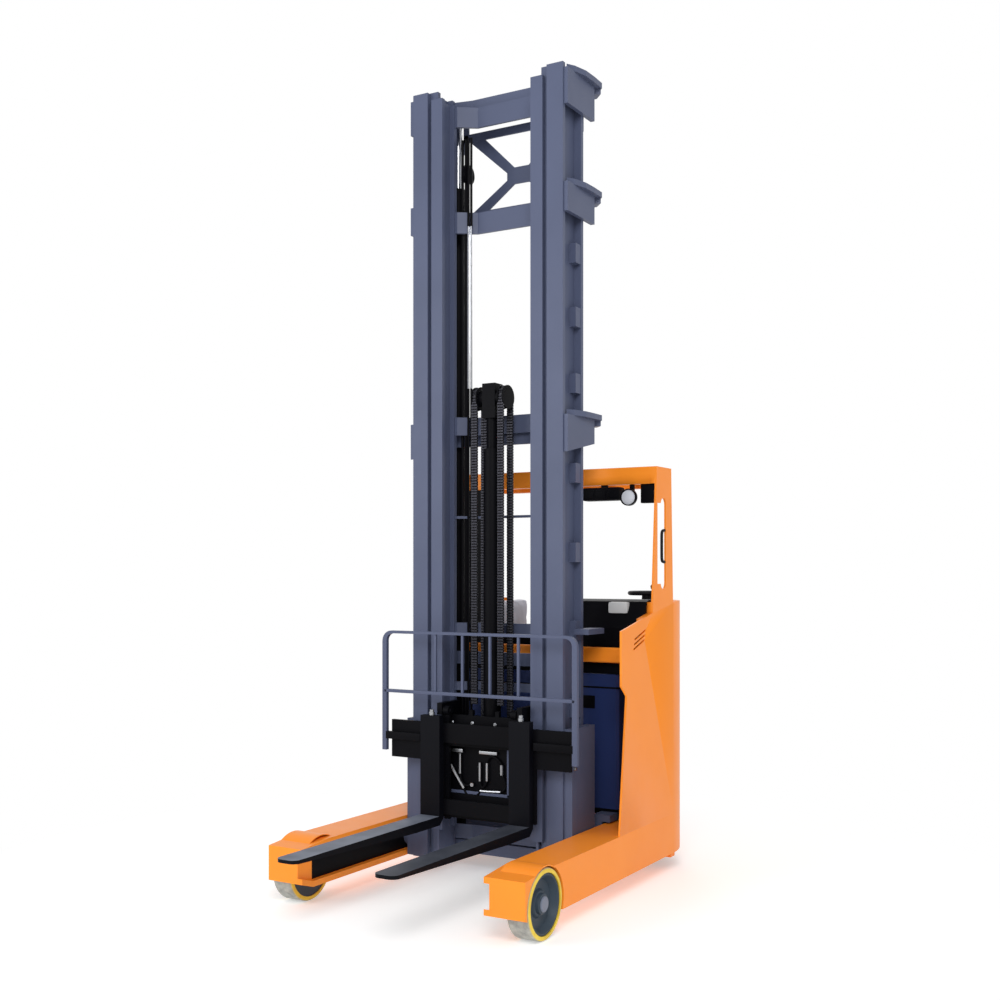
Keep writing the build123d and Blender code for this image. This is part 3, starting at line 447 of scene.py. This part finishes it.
def new_piece(name, shape, finish, body, stands_for=(), smooth=35):
    """The finished piece: faces outwards, shaded smooth below an angle, riding on its body."""
    if isinstance(shape, bmesh.types.BMesh):
        bmesh.ops.remove_doubles(shape, verts=shape.verts, dist=1e-6)
        bmesh.ops.recalc_face_normals(shape, faces=shape.faces)
        mesh = mesh_from(name, shape)
    else:
        mesh = shape
    mesh.shade_smooth()
    mesh.set_sharp_from_angle(angle=math.radians(smooth))
    made = linked(name, mesh)
    mesh.materials.clear()
    mesh.materials.append(finish)
    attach(made, body)
    if stands_for:
        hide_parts(*stands_for)
    print(name, len(mesh.polygons), "faces on", body)
    return made


# %% [markdown]
# Some sheet parts are thinner than the solids could be. A merged copy of the solid has blocks cut away by an
# exact boolean, and stands for the solid. Flat plates are made from an outline and a thickness.

# %% Cut copies and plates


def cut_copy(name, source, blocks, finish, body):
    """A merged copy of a solid with blocks cut away, standing for that solid."""
    shape = bmesh.new()
    shape.from_mesh(frame["nodes"][source].data)
    bmesh.ops.remove_doubles(shape, verts=shape.verts, dist=1e-5)
    bmesh.ops.recalc_face_normals(shape, faces=shape.faces)
    tool = bmesh.new()
    for low, high in blocks:
        bmesh.ops.create_cube(tool, size=1, matrix=block_place(low, high))
    made = []
    for label, holding in (("kept", shape), ("cutter", tool)):
        made.append(linked(label, mesh_from(label, holding)))
    cut = made[0].modifiers.new("cut", "BOOLEAN")
    cut.operation = "DIFFERENCE"
    cut.solver = "EXACT"
    cut.use_self = True
    cut.object = made[1]
    result = result_of(made[0])
    for holder in made:
        bpy.data.objects.remove(holder)
    return new_piece(name, result, finish, body, [source])


def flat_plate(shape, outline, low, high, axis="Y"):
    """A plate with an outline and its thickness from low to high along an axis."""
    sides = []
    for place in (low, high):
        spots = [(a, place, b) if axis == "Y" else (place, a, b) for a, b in outline]
        sides.append([shape.verts.new(spot) for spot in spots])
    shape.faces.new(sides[0])
    shape.faces.new(sides[1])
    for number in range(len(outline)):
        after = (number + 1) % len(outline)
        shape.faces.new((sides[0][number], sides[0][after], sides[1][after], sides[1][number]))


print("helpers for cut copies and plates")

# %% [markdown]
# Bolts and chain links repeat many times, so Geometry Nodes place them. The first tree puts one part on
# every point and turns it to the way the point faces. The second lays a link along a line, one each pitch.
# Both end in real geometry, and the result is kept as a plain mesh.

# %% Geometry Nodes for what repeats


def new_tree(name, inputs):
    """An empty node tree with its inputs and the nodes that every tree here starts and ends with."""
    tree = bpy.data.node_groups.new(name, "GeometryNodeTree")
    tree.interface.new_socket("Geometry", in_out="INPUT", socket_type="NodeSocketGeometry")
    sockets = {label: tree.interface.new_socket(label, in_out="INPUT", socket_type=kind).identifier
               for label, kind in inputs}
    tree.interface.new_socket("Geometry", in_out="OUTPUT", socket_type="NodeSocketGeometry")
    return tree, node(tree, "NodeGroupInput"), node(tree, "NodeGroupOutput"), sockets


def end_tree(tree, start, end, points, turn):
    """The part set on the points, made real and given its material."""
    part = node(tree, "GeometryNodeObjectInfo")
    put = node(tree, "GeometryNodeInstanceOnPoints")
    real = node(tree, "GeometryNodeRealizeInstances")
    paint = node(tree, "GeometryNodeSetMaterial")
    for source, target in ((start.outputs["Part"], part.inputs["Object"]), (points, put.inputs["Points"]),
                           (part.outputs["Geometry"], put.inputs["Instance"]), (turn, put.inputs["Rotation"]),
                           (put.outputs["Instances"], real.inputs["Geometry"]),
                           (real.outputs["Geometry"], paint.inputs["Geometry"]),
                           (start.outputs["Finish"], paint.inputs["Material"]),
                           (paint.outputs["Geometry"], end.inputs["Geometry"])):
        tree.links.new(source, target)


shared_inputs = [("Part", "NodeSocketObject"), ("Finish", "NodeSocketMaterial")]
bolt_tree, start, end, bolt_sockets = new_tree("bolts_on_points", shared_inputs)
facing = node(bolt_tree, "GeometryNodeInputNamedAttribute", data_type="FLOAT_VECTOR", Name="facing")
turn = node(bolt_tree, "FunctionNodeAlignRotationToVector", axis="Z")
bolt_tree.links.new(facing.outputs["Attribute"], turn.inputs["Vector"])
end_tree(bolt_tree, start, end, start.outputs["Geometry"], turn.outputs["Rotation"])

chain_inputs = shared_inputs + [("Pitch", "NodeSocketFloat")]
chain_tree, start, end, chain_sockets = new_tree("links_on_line", chain_inputs)
line = node(chain_tree, "GeometryNodeMeshToCurve")
spread = node(chain_tree, "GeometryNodeResampleCurve", mode="LENGTH")
along = node(chain_tree, "GeometryNodeInputTangent")
turn = node(chain_tree, "FunctionNodeAlignRotationToVector", axis="Z", pivot_axis="X")
chain_tree.links.new(start.outputs["Geometry"], line.inputs["Mesh"])
chain_tree.links.new(line.outputs["Curve"], spread.inputs["Curve"])
chain_tree.links.new(start.outputs["Pitch"], spread.inputs["Length"])
chain_tree.links.new(along.outputs["Tangent"], turn.inputs["Vector"])
end_tree(chain_tree, start, end, spread.outputs["Curve"], turn.outputs["Rotation"])


def grown(tree, sockets, base, part_shape, finish, **values):
    """The plain mesh that a tree grows from a base mesh and one part."""
    bmesh.ops.recalc_face_normals(part_shape, faces=part_shape.faces)
    part = linked("part", mesh_from("part", part_shape))
    holder = linked("holder", base)
    grow = holder.modifiers.new("grow", "NODES")
    grow.node_group = tree
    grow[sockets["Part"]] = part
    grow[sockets["Finish"]] = finish
    for label, value in values.items():
        grow[sockets[label]] = value
    mesh = result_of(holder)
    holder.modifiers.remove(grow)
    bpy.data.objects.remove(holder)
    bpy.data.objects.remove(part)
    return mesh


def bolts(name, rows, size, body, finish="steel"):
    """Hexagon bolts with a washer, at (place, facing) rows."""
    base = bpy.data.meshes.new("spots")
    base.from_pydata([place for place, _ in rows], [], [])
    ways = base.attributes.new("facing", "FLOAT_VECTOR", "POINT")
    for number, (_, way) in enumerate(rows):
        ways.data[number].vector = way
    bolt = bmesh.new()
    washer, head, shoulder = size * 0.22, size * 0.85, size * 0.75
    turned(bolt, [(-0.001, 0), (-0.001, size), (washer, size), (washer, 0)], (0, 0), "Z", 14)
    turned(bolt, [(washer, 0), (washer, size * 0.8), (shoulder, size * 0.8), (head, size * 0.68), (head, 0)],
           (0, 0), "Z", 6)
    bmesh.ops.remove_doubles(bolt, verts=bolt.verts, dist=1e-6)
    mesh = grown(bolt_tree, bolt_sockets, base, bolt, finishes[finish])
    return new_piece(name, mesh, finishes[finish], body)


print("trees", [tree.name for tree in (bolt_tree, chain_tree)])

# %% [markdown]
# The load wheels carry a cast hub with a polyurethane tyre. The sides stay bright yellow, while the tread is
# rubbed grey by the floor, so the tyre's finish reads how far a point is from its axle.

# %% Wheels


def worn_tyre(name, axle, tread_radius):
    """Yellow polyurethane whose tread is grey, from the distance to the axle."""
    made, tree, shader, where = new_finish(name)
    centre = node(tree, "ShaderNodeMapping", (-1000, 300))
    centre.inputs["Location"].default_value = (0, -axle[0], -axle[1])
    centre.inputs["Scale"].default_value = (0, 1, 1)
    far = node(tree, "ShaderNodeVectorMath", (-800, 300), operation="LENGTH")
    tree.links.new(where, centre.inputs["Vector"])
    tree.links.new(centre.outputs["Vector"], far.inputs[0])
    rub = node(tree, "ShaderNodeMapRange", (-600, 300))
    rub.inputs["From Min"].default_value = tread_radius - 0.006
    rub.inputs["From Max"].default_value = tread_radius - 0.001
    tree.links.new(far.outputs["Value"], rub.inputs["Value"])
    side_tones = [(0.3, linear(214, 178, 40)), (0.7, linear(246, 214, 62))]
    tread_tones = [(0.3, linear(128, 130, 126)), (0.7, linear(176, 176, 168))]
    side = ramp(tree, mottle(tree, where, 14), side_tones)
    tread = ramp(tree, mottle(tree, where, 40, 5), tread_tones)
    tree.links.new(blend(tree, rub.outputs[0], side, tread), shader.inputs["Base Color"])
    shader.inputs["Roughness"].default_value = 0.5
    bump(tree, shader, mottle(tree, where, 180, 4), 0.2, 0.0008)
    return made


load_radius = 0.1425
drive_radius = 0.125
tread_round = 0.010
cap_finish = enamel("cap_enamel", (112, 120, 138), rough=0.4, coat=0.0, change=0.08, gloss=0.3)
load_axle = (back(0), load_radius)
wheel_rows = (
    # name, tyre node, hub node, body, axle place (y, z), radius, tyre thickness
    ("left", "load_tyre_left", "load_hub_left", "load_wheel_left", load_axle, load_radius, 0.020),
    ("right", "load_tyre_right", "load_hub_right", "load_wheel_right", load_axle, load_radius, 0.020),
    ("drive", "drive_tyre", "drive_hub", "drive_wheel", (back(1400), drive_radius), drive_radius, 0.030),
)
for wheel_name, tyre_node, hub_node, body, axle, radius, thick in wheel_rows:
    low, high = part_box(tyre_node)
    outward = -1 if wheel_name == "right" else 1
    near, far = (high[0], low[0]) if outward > 0 else (low[0], high[0])
    rim = radius - thick
    shape = bmesh.new()
    angles = [step * math.pi / 10 for step in range(6)]
    shoulder = [(tread_round * (1 - math.cos(angle)), tread_round * math.sin(angle)) for angle in angles]
    section = [(low[0], rim + 0.0004)]
    section += [(low[0] + along, radius - tread_round + out) for along, out in shoulder]
    section += [(high[0] - along, radius - tread_round + out) for along, out in reversed(shoulder)]
    section += [(high[0], rim + 0.0004)]
    turned(shape, section, axle, closed=True, steps=72)
    tyre_finish = worn_tyre("tyre_" + wheel_name, axle, radius)
    new_piece("tyre_" + wheel_name, shape, tyre_finish, body, [tyre_node])

    shape = bmesh.new()
    steps_in = ((0.006, rim), (0.004, rim - 0.003), (0.004, rim - 0.010), (0.012, rim - 0.014),
                (0.034, rim - 0.026), (0.036, 0.058), (0.026, 0.050), (0.024, 0.043), (0.012, 0.040),
                (0.010, 0.034), (0.010, 0))
    section = [(near - outward * depth, out) for depth, out in steps_in]
    section = [(far + outward * 0.004, 0.030), (far + outward * 0.004, rim)] + section
    turned(shape, section, axle, steps=56)
    new_piece("hub_" + wheel_name, shape, finishes["hub"], body, [hub_node])
    shape = bmesh.new()
    cap = ((0.014, 0), (0.014, 0.031), (0.006, 0.031), (0.003, 0.027), (0.003, 0))
    turned(shape, [(near - outward * depth, out) for depth, out in cap], axle, steps=40)
    new_piece("hub_cap_" + wheel_name, shape, cap_finish, body)

# %% [markdown]
# A curved cover in the body's colour closes the leg over each load wheel.

# %% Wheel covers
shape = bmesh.new()
arc = [math.radians(-42 + 72 * step / 24) for step in range(25)]
outline = [(back(0) + out * math.sin(angle), load_radius + out * math.cos(angle))
           for out, angles in ((0.1520, arc), (0.1480, arc[::-1])) for angle in angles]
for side in (1, -1):
    flat_plate(shape, outline, side * 0.478, side * 0.6345, "X")
new_piece("wheel_covers", shape, finishes["orange"], "chassis")

# %% [markdown]
# A thin black sheet lines the legs' inner channels where the reach carriage rolls, as painted shade in the
# recess.

# %% Painted channel shade
shape = bmesh.new()
for side in (1, -1):
    inside, outside = on_side(side, 0.4738, 0.4748)
    # A black sheet painted as the shade inside each channel.
    soft_block(shape, (inside, back(-70), 0.117), (outside, back(900), 0.253), 0.0002)
new_piece("leg_channels", shape, finishes["black"], "chassis")

# %% [markdown]
# The load backrest is a bent bar with four thin uprights and a middle rail. Black bars hold it on the shift
# frame.

# %% Load backrest
shape = bmesh.new()
side_low = 0.602
outer_run, inner_run = [(-0.515, side_low)], [(-0.491, side_low)]
for run, half, top, radius in ((outer_run, 0.515, 1.165, 0.050), (inner_run, 0.491, 1.152, 0.034)):
    for middle_x, first in ((-half + radius, 180), (half - radius, 90)):
        for step in range(7):
            angle = math.radians(first - 15 * step)
            run.append((middle_x + radius * math.cos(angle), top - radius + radius * math.sin(angle)))
    run.append((half, side_low))
flat_plate(shape, outer_run + inner_run[::-1], back(502), back(521))
for x in (-0.220, -0.073, 0.073, 0.220):
    soft_block(shape, (x - 0.0055, back(506), 0.880), (x + 0.0055, back(518), 1.158), 0.002)
soft_block(shape, (-0.505, back(502), 0.874), (0.505, back(521), 0.889), 0.002)
new_piece("backrest_bars", shape, finishes["mast"], "sideshift", ["load_backrest"])
shape = bmesh.new()
for side in (1, -1):
    inside, outside = on_side(side, 0.300, 0.495)
    soft_block(shape, (inside, back(501), 0.655), (outside, back(522), 0.690), 0.002)
new_piece("backrest_mounts", shape, finishes["black"], "sideshift")

# %% [markdown]
# Leaf chains lift the carriage. They run from the carriage up over two sheaves on the free-lift head and down
# again. A link is two packs of plates with chamfered ends, each half a pitch long, and the tree repeats it
# along each strand. A second pass adds the pins.

# %% Lift chains
chain_pitch = 0.0254
front_end_z, back_end_z = 0.832, 0.36
strand_x = 0.070
head_y = back(655)
wrap = 0.043
sheave_z = 2.245
base = bpy.data.meshes.new("strands")
spots, lines = [], []
for side in (1, -1):
    strand = [(side * strand_x, head_y - wrap, front_end_z), (side * strand_x, head_y - wrap, sheave_z)]
    strand += [(side * strand_x, head_y - wrap * math.cos(step * math.pi / 12), sheave_z
                + wrap * math.sin(step * math.pi / 12)) for step in range(1, 12)]
    strand += [(side * strand_x, head_y + wrap, sheave_z), (side * strand_x, head_y + wrap, back_end_z)]
    lines += [(len(spots) + step, len(spots) + step + 1) for step in range(len(strand) - 1)]
    spots += strand
base.from_pydata(spots, lines, [])

link = bmesh.new()
half_pitch = chain_pitch / 2
plate_high = 0.0115
edge = 0.0026
for first in (0, half_pitch):
    low, high, out = first + 0.0005, first + half_pitch - 0.0005, plate_high / 2
    outline = [(-out, low + edge), (edge - out, low), (out - edge, low), (out, low + edge),
               (out, high - edge), (out - edge, high), (edge - out, high), (-out, high - edge)]
    for across in (-0.0080, 0.0080):
        flat_plate(link, outline, across - 0.0072, across + 0.0072, "X")
chain_mesh = grown(chain_tree, chain_sockets, base.copy(), link, finishes["chain"], Pitch=chain_pitch)
new_piece("lift_chains", chain_mesh, finishes["chain"], "free_lift", ["free_lift_chains"])
pins = bmesh.new()
for height in (0, half_pitch):
    turned(pins, [(-0.0160, 0), (-0.0160, 0.0024), (0.0160, 0.0024), (0.0160, 0)], (0, height), "X", 6)
bmesh.ops.remove_doubles(pins, verts=pins.verts, dist=1e-6)
pin_mesh = grown(chain_tree, chain_sockets, base, pins, finishes["steel"], Pitch=chain_pitch)
new_piece("chain_pins", pin_mesh, finishes["steel"], "free_lift")

# %% [markdown]
# Hard steel pipes bring oil up the mast, and black tubes and a pulley stand beside them. The steel pipes are
# bright only along their middle stretch; below and above it they are drawn black, as painted shade. They are
# fixed at both ends, so they are plain tubes and not free hoses.

# %% Pipes in the mast
pipe_places = ((-0.172, back(722)), (-0.160, back(728)))
pulley_y = back(740)
shape = bmesh.new()
for x, y in pipe_places:
    bent_pipe(shape, [(x, y, 2.30), (x, y, 2.5), (x, y, 2.9), (x, y, 3.09)], 0.005, 2)
new_piece("mast_pipes", shape, finishes["rod"], "mast_inner")
shape = bmesh.new()
for x in (-0.216, -0.197):
    bent_pipe(shape, [(x, pulley_y, z) for z in (0.70, 1.5, 2.6, 3.50)], 0.007, 2)
# Below and above their bright stretch the same steel pipes are drawn black, as painted shade.
for x, y in pipe_places:
    bent_pipe(shape, [(x, y, 0.70), (x, y, 1.2), (x, y, 1.8), (x, y, 2.31)], 0.006, 2)
    bent_pipe(shape, [(x, y, 3.08), (x, y, 3.2), (x, y, 3.35), (x, y, 3.50)], 0.006, 2)
pulley = [(-0.195, 0), (-0.195, 0.046), (-0.191, 0.040), (-0.181, 0.040), (-0.177, 0.046), (-0.177, 0)]
turned(shape, pulley, (pulley_y, 3.331), "X", 32)
new_piece("mast_tubes", shape, finishes["black"], "mast_inner")

# %% [markdown]
# The carriage's window has a frame, bright fittings and short hoses, with a thin black plate behind them that
# paints the shade inside the window. The lists give X and Z as the photograph shows them at the carriage's
# face, and each group stands a little behind it, so it is moved across to match.

# %% The carriage's window
shape = bmesh.new()
window_bars = (((-0.225, 0.416), (-0.205, 0.66)), ((0.128, 0.416), (0.146, 0.66)),
               ((-0.225, 0.416), (0.146, 0.430)))
frame_shift, fitting_shift = 0.013, 0.010
for low, high in window_bars:
    soft_block(shape, (low[0] - frame_shift, back(590), low[1]),
               (high[0] - frame_shift, back(597), high[1]), 0.002)
new_piece("window_frame", shape, finishes["mast"], "fork_carriage")
shape = bmesh.new()
window_pipes = (
    # (x, z) points and radius
    (((-0.176, 0.545), (-0.150, 0.505), (-0.125, 0.470), (-0.104, 0.440)), 0.007),
    (((-0.124, 0.600), (-0.124, 0.570), (-0.124, 0.540), (-0.124, 0.508)), 0.006),
    (((-0.017, 0.566), (-0.017, 0.540), (-0.017, 0.510), (-0.017, 0.481)), 0.006),
    (((0.021, 0.566), (0.021, 0.540), (0.021, 0.510), (0.021, 0.484)), 0.006),
    (((0.099, 0.563), (0.099, 0.550), (0.099, 0.535), (0.099, 0.518)), 0.008),
    (((-0.014, 0.436), (0.020, 0.436), (0.060, 0.438), (0.094, 0.440)), 0.007),
)
for line, radius in window_pipes:
    bent_pipe(shape, [(x - fitting_shift, back(588), z) for x, z in line], radius, 3)
window_blocks = (((-0.192, 0.606), (-0.108, 0.622)), ((-0.019, 0.606), (0.076, 0.620)),
                 ((0.084, 0.640), (0.141, 0.654)))
for low, high in window_blocks:
    soft_block(shape, (low[0] - fitting_shift, back(583), low[1]),
               (high[0] - fitting_shift, back(593), high[1]), 0.003)
plug = [(back(583), 0), (back(583), 0.009), (back(592), 0.009), (back(592), 0)]
turned(shape, plug, (-0.068, 0.461), "Y", 16)
new_piece("window_fittings", shape, finishes["steel"], "fork_carriage")
shape = bmesh.new()
hoses = (
    ((-0.190, 0.62), (-0.195, 0.56), (-0.188, 0.50), (-0.176, 0.545)),
    ((-0.104, 0.440), (-0.090, 0.405), (-0.040, 0.395), (-0.014, 0.436)),
    ((-0.124, 0.508), (-0.122, 0.470), (-0.090, 0.450), (-0.058, 0.461)),
    ((-0.017, 0.481), (-0.016, 0.455), (0.005, 0.450), (0.021, 0.484)),
    ((0.094, 0.440), (0.120, 0.450), (0.118, 0.490), (0.099, 0.518)),
    ((0.021, 0.566), (0.025, 0.595), (0.070, 0.600), (0.099, 0.563)),
)
for line in hoses:
    bent_pipe(shape, [(x - fitting_shift, back(590), z) for x, z in line], 0.0055, 3)
# A thin black plate behind the window's fittings: painted shade.
soft_block(shape, (-0.240, back(600), 0.420), (0.240, back(603), 0.698), 0.001)
new_piece("window_hoses", shape, finishes["black"], "fork_carriage")

# %% [markdown]
# Bolts hold the reach carriage's side plates and the lift carriage's top bar.

# %% Bolts
plate_face = 0.4412
mast_rows = [((side * plate_face, back(625), height), (side, 0, 0))
             for side in (1, -1) for height in (0.68, 0.57)]
bolts("mast_bolts", mast_rows, 0.010, "reach_carriage", "steel")
carriage_rows = [((x, back(577.5), 0.745), (0, -1, 0)) for x in (-0.17, -0.06, 0.06, 0.17)]
bolts("carriage_bolts", carriage_rows, 0.009, "fork_carriage", "steel")

# %% [markdown]
# Each fork hangs by a hook on the shift frame, and a bright latch pin on its top keeps it from sliding.

# %% Fork latches
shape = bmesh.new()
latch = [(0.779, 0), (0.779, 0.013), (0.794, 0.013), (0.797, 0.010), (0.806, 0.010), (0.808, 0.007),
         (0.808, 0)]
for side in (1, -1):
    turned(shape, latch, (side * 0.236, back(506)), "Z", 20)
new_piece("fork_latches", shape, finishes["steel"], "sideshift")

# %% [markdown]
# A plate cut as a cross stiffens the mast's head behind the rails, below a slim bar on two hangers.

# %% Mast brace
shape = bmesh.new()
quarter_high = [(0.040, 3.396), (0.207, 3.562), (0.293, 3.562), (0.080, 3.374)]
quarter_low = [(0.080, 3.338), (0.292, 3.196), (0.205, 3.196), (0.040, 3.316)]
right = quarter_high + quarter_low
flat_plate(shape, right + [(-x, z) for x, z in right[::-1]], back(928.5), back(937.5))
low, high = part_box("mast_brace")
soft_block(shape, (low[0], back(928), 3.560), (high[0], back(938), 3.600), 0.002)
for side in (1, -1):
    inside, outside = on_side(side, 0.300, 0.330)
    soft_block(shape, (inside, back(928), 3.505), (outside, back(938), 3.675), 0.002)
new_piece("cross_plate", shape, finishes["mast"], "reach_carriage", ["mast_brace"])

# %% [markdown]
# The guard's posts are folded sheet, open on their inner side, so daylight shows through the slots. The left
# body panel is sheet too, and its front edge is thin.

# %% Sheet posts and panel
post_cuts = []
for side in (1, -1):
    inside, outside = on_side(side, 0.604, 0.626)
    post_cuts.append(((inside, back(1030), 1.30), (outside, back(1300), 1.856)))
    post_cuts.append(((inside - 0.01, back(1097), 1.385), (outside + 0.02, back(1145), 1.765)))
cut_copy("guard_posts", "guard_frame", post_cuts, finishes["orange"], "chassis")
panel_cut = ((0.604, back(680), 0.281), (0.626, back(925), 1.26))
cut_copy("body_panels", "body_shell", [panel_cut], finishes["orange"], "chassis")

# %% [markdown]
# Two lamps hang under the guard's front beam: a flat one, and a round work lamp with a clear face. The driver
# climbs in by a rubber-covered handle in the slot of each post.

# %% Lamps and handles
shape = bmesh.new()
lamp_y = back(1088)
lamp_middle = (0.505, 1.792)
soft_block(shape, (0.263, lamp_y - 0.030, 1.780), (0.458, lamp_y + 0.030, 1.843), 0.010)
for x in (0.300, 0.3605, 0.421):
    soft_block(shape, (x - 0.024, lamp_y - 0.034, 1.792), (x + 0.024, lamp_y - 0.027, 1.830), 0.004)
soft_block(shape, (0.345, lamp_y + 0.004, 1.840), (0.375, lamp_y + 0.024, 1.855), 0.002)
soft_block(shape, (0.548, lamp_y + 0.010, 1.765), (0.622, lamp_y + 0.042, 1.855), 0.004)
case = ((-0.030, 0.034), (-0.040, 0.036), (-0.040, 0.040), (-0.018, 0.040), (0.004, 0.030), (0.025, 0.016),
        (0.025, 0))
turned(shape, [(lamp_y + along, out) for along, out in case], lamp_middle, "Y", 40)
soft_block(shape, (0.495, lamp_y + 0.004, 1.80), (0.515, lamp_y + 0.020, 1.855), 0.002)
new_piece("guard_lamp_cases", shape, finishes["black"], "chassis", ["guard_lamps"])
shape = bmesh.new()
glass = ((-0.039, 0), (-0.0375, 0.018), (-0.033, 0.035), (-0.024, 0.035), (-0.020, 0))
turned(shape, [(lamp_y + along, out) for along, out in glass], lamp_middle, "Y", 40)
face_finish = enamel("lamp_glass", (205, 208, 216), rough=0.2, coat=0.3, change=0.06, dust=0)
new_piece("work_lamp_face", shape, face_finish, "chassis")
shape = bmesh.new()
grip = ((1200, 1.488), (1176, 1.488), (1166, 1.500), (1165, 1.52), (1165, 1.61), (1166, 1.626), (1176, 1.638),
        (1200, 1.638))
for side in (1, -1):
    bent_pipe(shape, [(side * 0.6270, back(distance), z) for distance, z in grip], 0.007, 4)
new_piece("climbing_handles", shape, finishes["wheel_grip"], "chassis", ["grab_handles"])

# %% [markdown]
# The steering wheel is small and lies flat, with a knob for turning it with one hand.

# %% Steering wheel
column = (0.430, back(1440))
rim_z = 1.335
shape = bmesh.new()
rim_section = [(rim_z + 0.011 * math.sin(step * math.pi / 6), 0.084 + 0.011 * math.cos(step * math.pi / 6))
               for step in range(12)]
turned(shape, rim_section, column, "Z", 64, closed=True)
boss = [(1.3005, 0), (1.3005, 0.026), (1.325, 0.024), (1.338, 0.022), (1.343, 0.014), (1.343, 0)]
turned(shape, boss, column, "Z", 36)
spoke_half = Vector((0.036, 0.010, 0.004))
for number in range(3):
    turn = Matrix.Rotation(math.radians(90 + 120 * number), 4, "Z")
    middle = Vector((*column, 1.331)) + turn @ Vector((0.048, 0, 0))
    soft_block(shape, middle - spoke_half, middle + spoke_half, 0.003, turn)
knob = [(1.335, 0), (1.335, 0.007), (1.350, 0.006), (1.356, 0.014), (1.370, 0.017), (1.378, 0.013),
        (1.380, 0)]
turned(shape, knob, (column[0] + 0.062, column[1] - 0.056), "Z", 24)
new_piece("hand_wheel", shape, finishes["wheel_grip"], "handwheel", ["steering_wheel"])

# %% [markdown]
# The console's front carries a pale moulded cowl.

# %% Console top
shape = bmesh.new()
soft_block(shape, (0.42, back(1010), 1.246), (0.52, back(1100), 1.300), 0.014)
cowl_finish = enamel("pale_moulding", (196, 198, 200), rough=0.5, coat=0.0, change=0.05, dust=0)
new_piece("console_cowl", shape, cowl_finish, "chassis")

# %% [markdown]
# Dark plates stand behind the left panel's louvres, and a black strip over the battery paints the shade in
# the gap there. The battery has a lid line and lifting eyes.

# %% Panel details
shape = bmesh.new()
soft_block(shape, (0.6215, back(800), 1.085), (0.6255, back(924), 1.185), 0.0015)
soft_block(shape, (0.600, back(926), 1.085), (0.6045, back(985), 1.185), 0.0015)
# A black strip in the gap over the battery: painted shade.
soft_block(shape, (-0.49, back(972), 0.965), (0.60, back(977), 1.030), 0.002)
new_piece("louvre_back", shape, finishes["black"], "chassis")
shape = bmesh.new()
soft_block(shape, (-0.4925, back(972.5), 0.896), (0.4925, back(1237), 0.904), 0.002)
for x in (-0.34, 0.34):
    soft_block(shape, (x - 0.03, back(971), 0.80), (x + 0.03, back(976), 0.86), 0.003)
new_piece("battery_trim", shape, finishes["black"], "chassis")

# %% [markdown]
# The seat is vinyl over foam. Each pad starts a little smaller than the solid, is remeshed evenly, and is
# blown up by Blender's cloth until it crowns. The moves are capped, the result is applied, and one
# subdivision smooths it.

# %% Seat
puff_frames = 20


def vinyl(name, colour):
    """Soft vinyl with a fine leather grain."""
    made, tree, shader, where = new_finish(name)
    base = linear(*colour)
    dark = tuple(c * 0.75 for c in base[:3]) + (1,)
    cells = node(tree, "ShaderNodeTexVoronoi", (-900, -200), Scale=420.0, feature="DISTANCE_TO_EDGE")
    tree.links.new(where, cells.inputs["Vector"])
    tone = ramp(tree, mottle(tree, where, 12, 4), [(0.3, dark), (0.7, base)])
    tree.links.new(tone, shader.inputs["Base Color"])
    shader.inputs["Roughness"].default_value = 0.55
    bump(tree, shader, cells.outputs["Distance"], 0.35, 0.0012)
    return made


def foam_pad(name, node_name, finish, shrink, cap):
    """A padded piece grown by cloth from a slightly smaller block in a node's space."""
    low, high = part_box(node_name)
    shape = bmesh.new()
    soft_block(shape, Vector(low) + shrink, Vector(high) - shrink, 0.022)
    pad = linked(name, mesh_from(name, shape))
    remesh = pad.modifiers.new("even", "REMESH")
    remesh.mode = "VOXEL"
    remesh.voxel_size = 0.006
    even = result_of(pad)
    pad.modifiers.clear()
    pad.data = even
    starts = [corner.co.copy() for corner in even.vertices]
    puff = pad.modifiers.new("puff", "CLOTH")
    puff.settings.use_pressure = True
    puff.settings.uniform_pressure_force = 4
    puff.settings.effector_weights.gravity = 0
    puff.point_cache.frame_start = 1
    puff.point_cache.frame_end = puff_frames
    for frame_number in range(1, puff_frames + 1):
        bpy.context.scene.frame_set(frame_number)
    blown = result_of(pad)
    pad.modifiers.clear()
    ends = [corner.co.copy() for corner in blown.vertices]
    for corner, start_place, end_place in zip(even.vertices, starts, ends):
        move = end_place - start_place
        spot = start_place + (move if move.length <= cap else move.normalized() * cap)
        corner.co = [min(max(value, bottom), top) for value, bottom, top in zip(spot, low, high)]
    bpy.context.scene.frame_set(1)
    smooth = pad.modifiers.new("smooth", "SUBSURF")
    smooth.levels = smooth.render_levels = 1
    finished = result_of(pad)
    bpy.data.objects.remove(pad)
    made = new_piece(name, finished, finish, "chassis", [node_name], smooth=180)
    return made


black_vinyl = vinyl("black_vinyl", (46, 46, 50))
grey_vinyl = vinyl("grey_vinyl", (205, 208, 222))
foam_pad("seat_pad", "seat_cushion", black_vinyl, Vector((0.012, 0.012, 0.010)), 0.012)
foam_pad("back_pad", "seat_back", grey_vinyl, Vector((0.010, 0.012, 0.012)), 0.010)
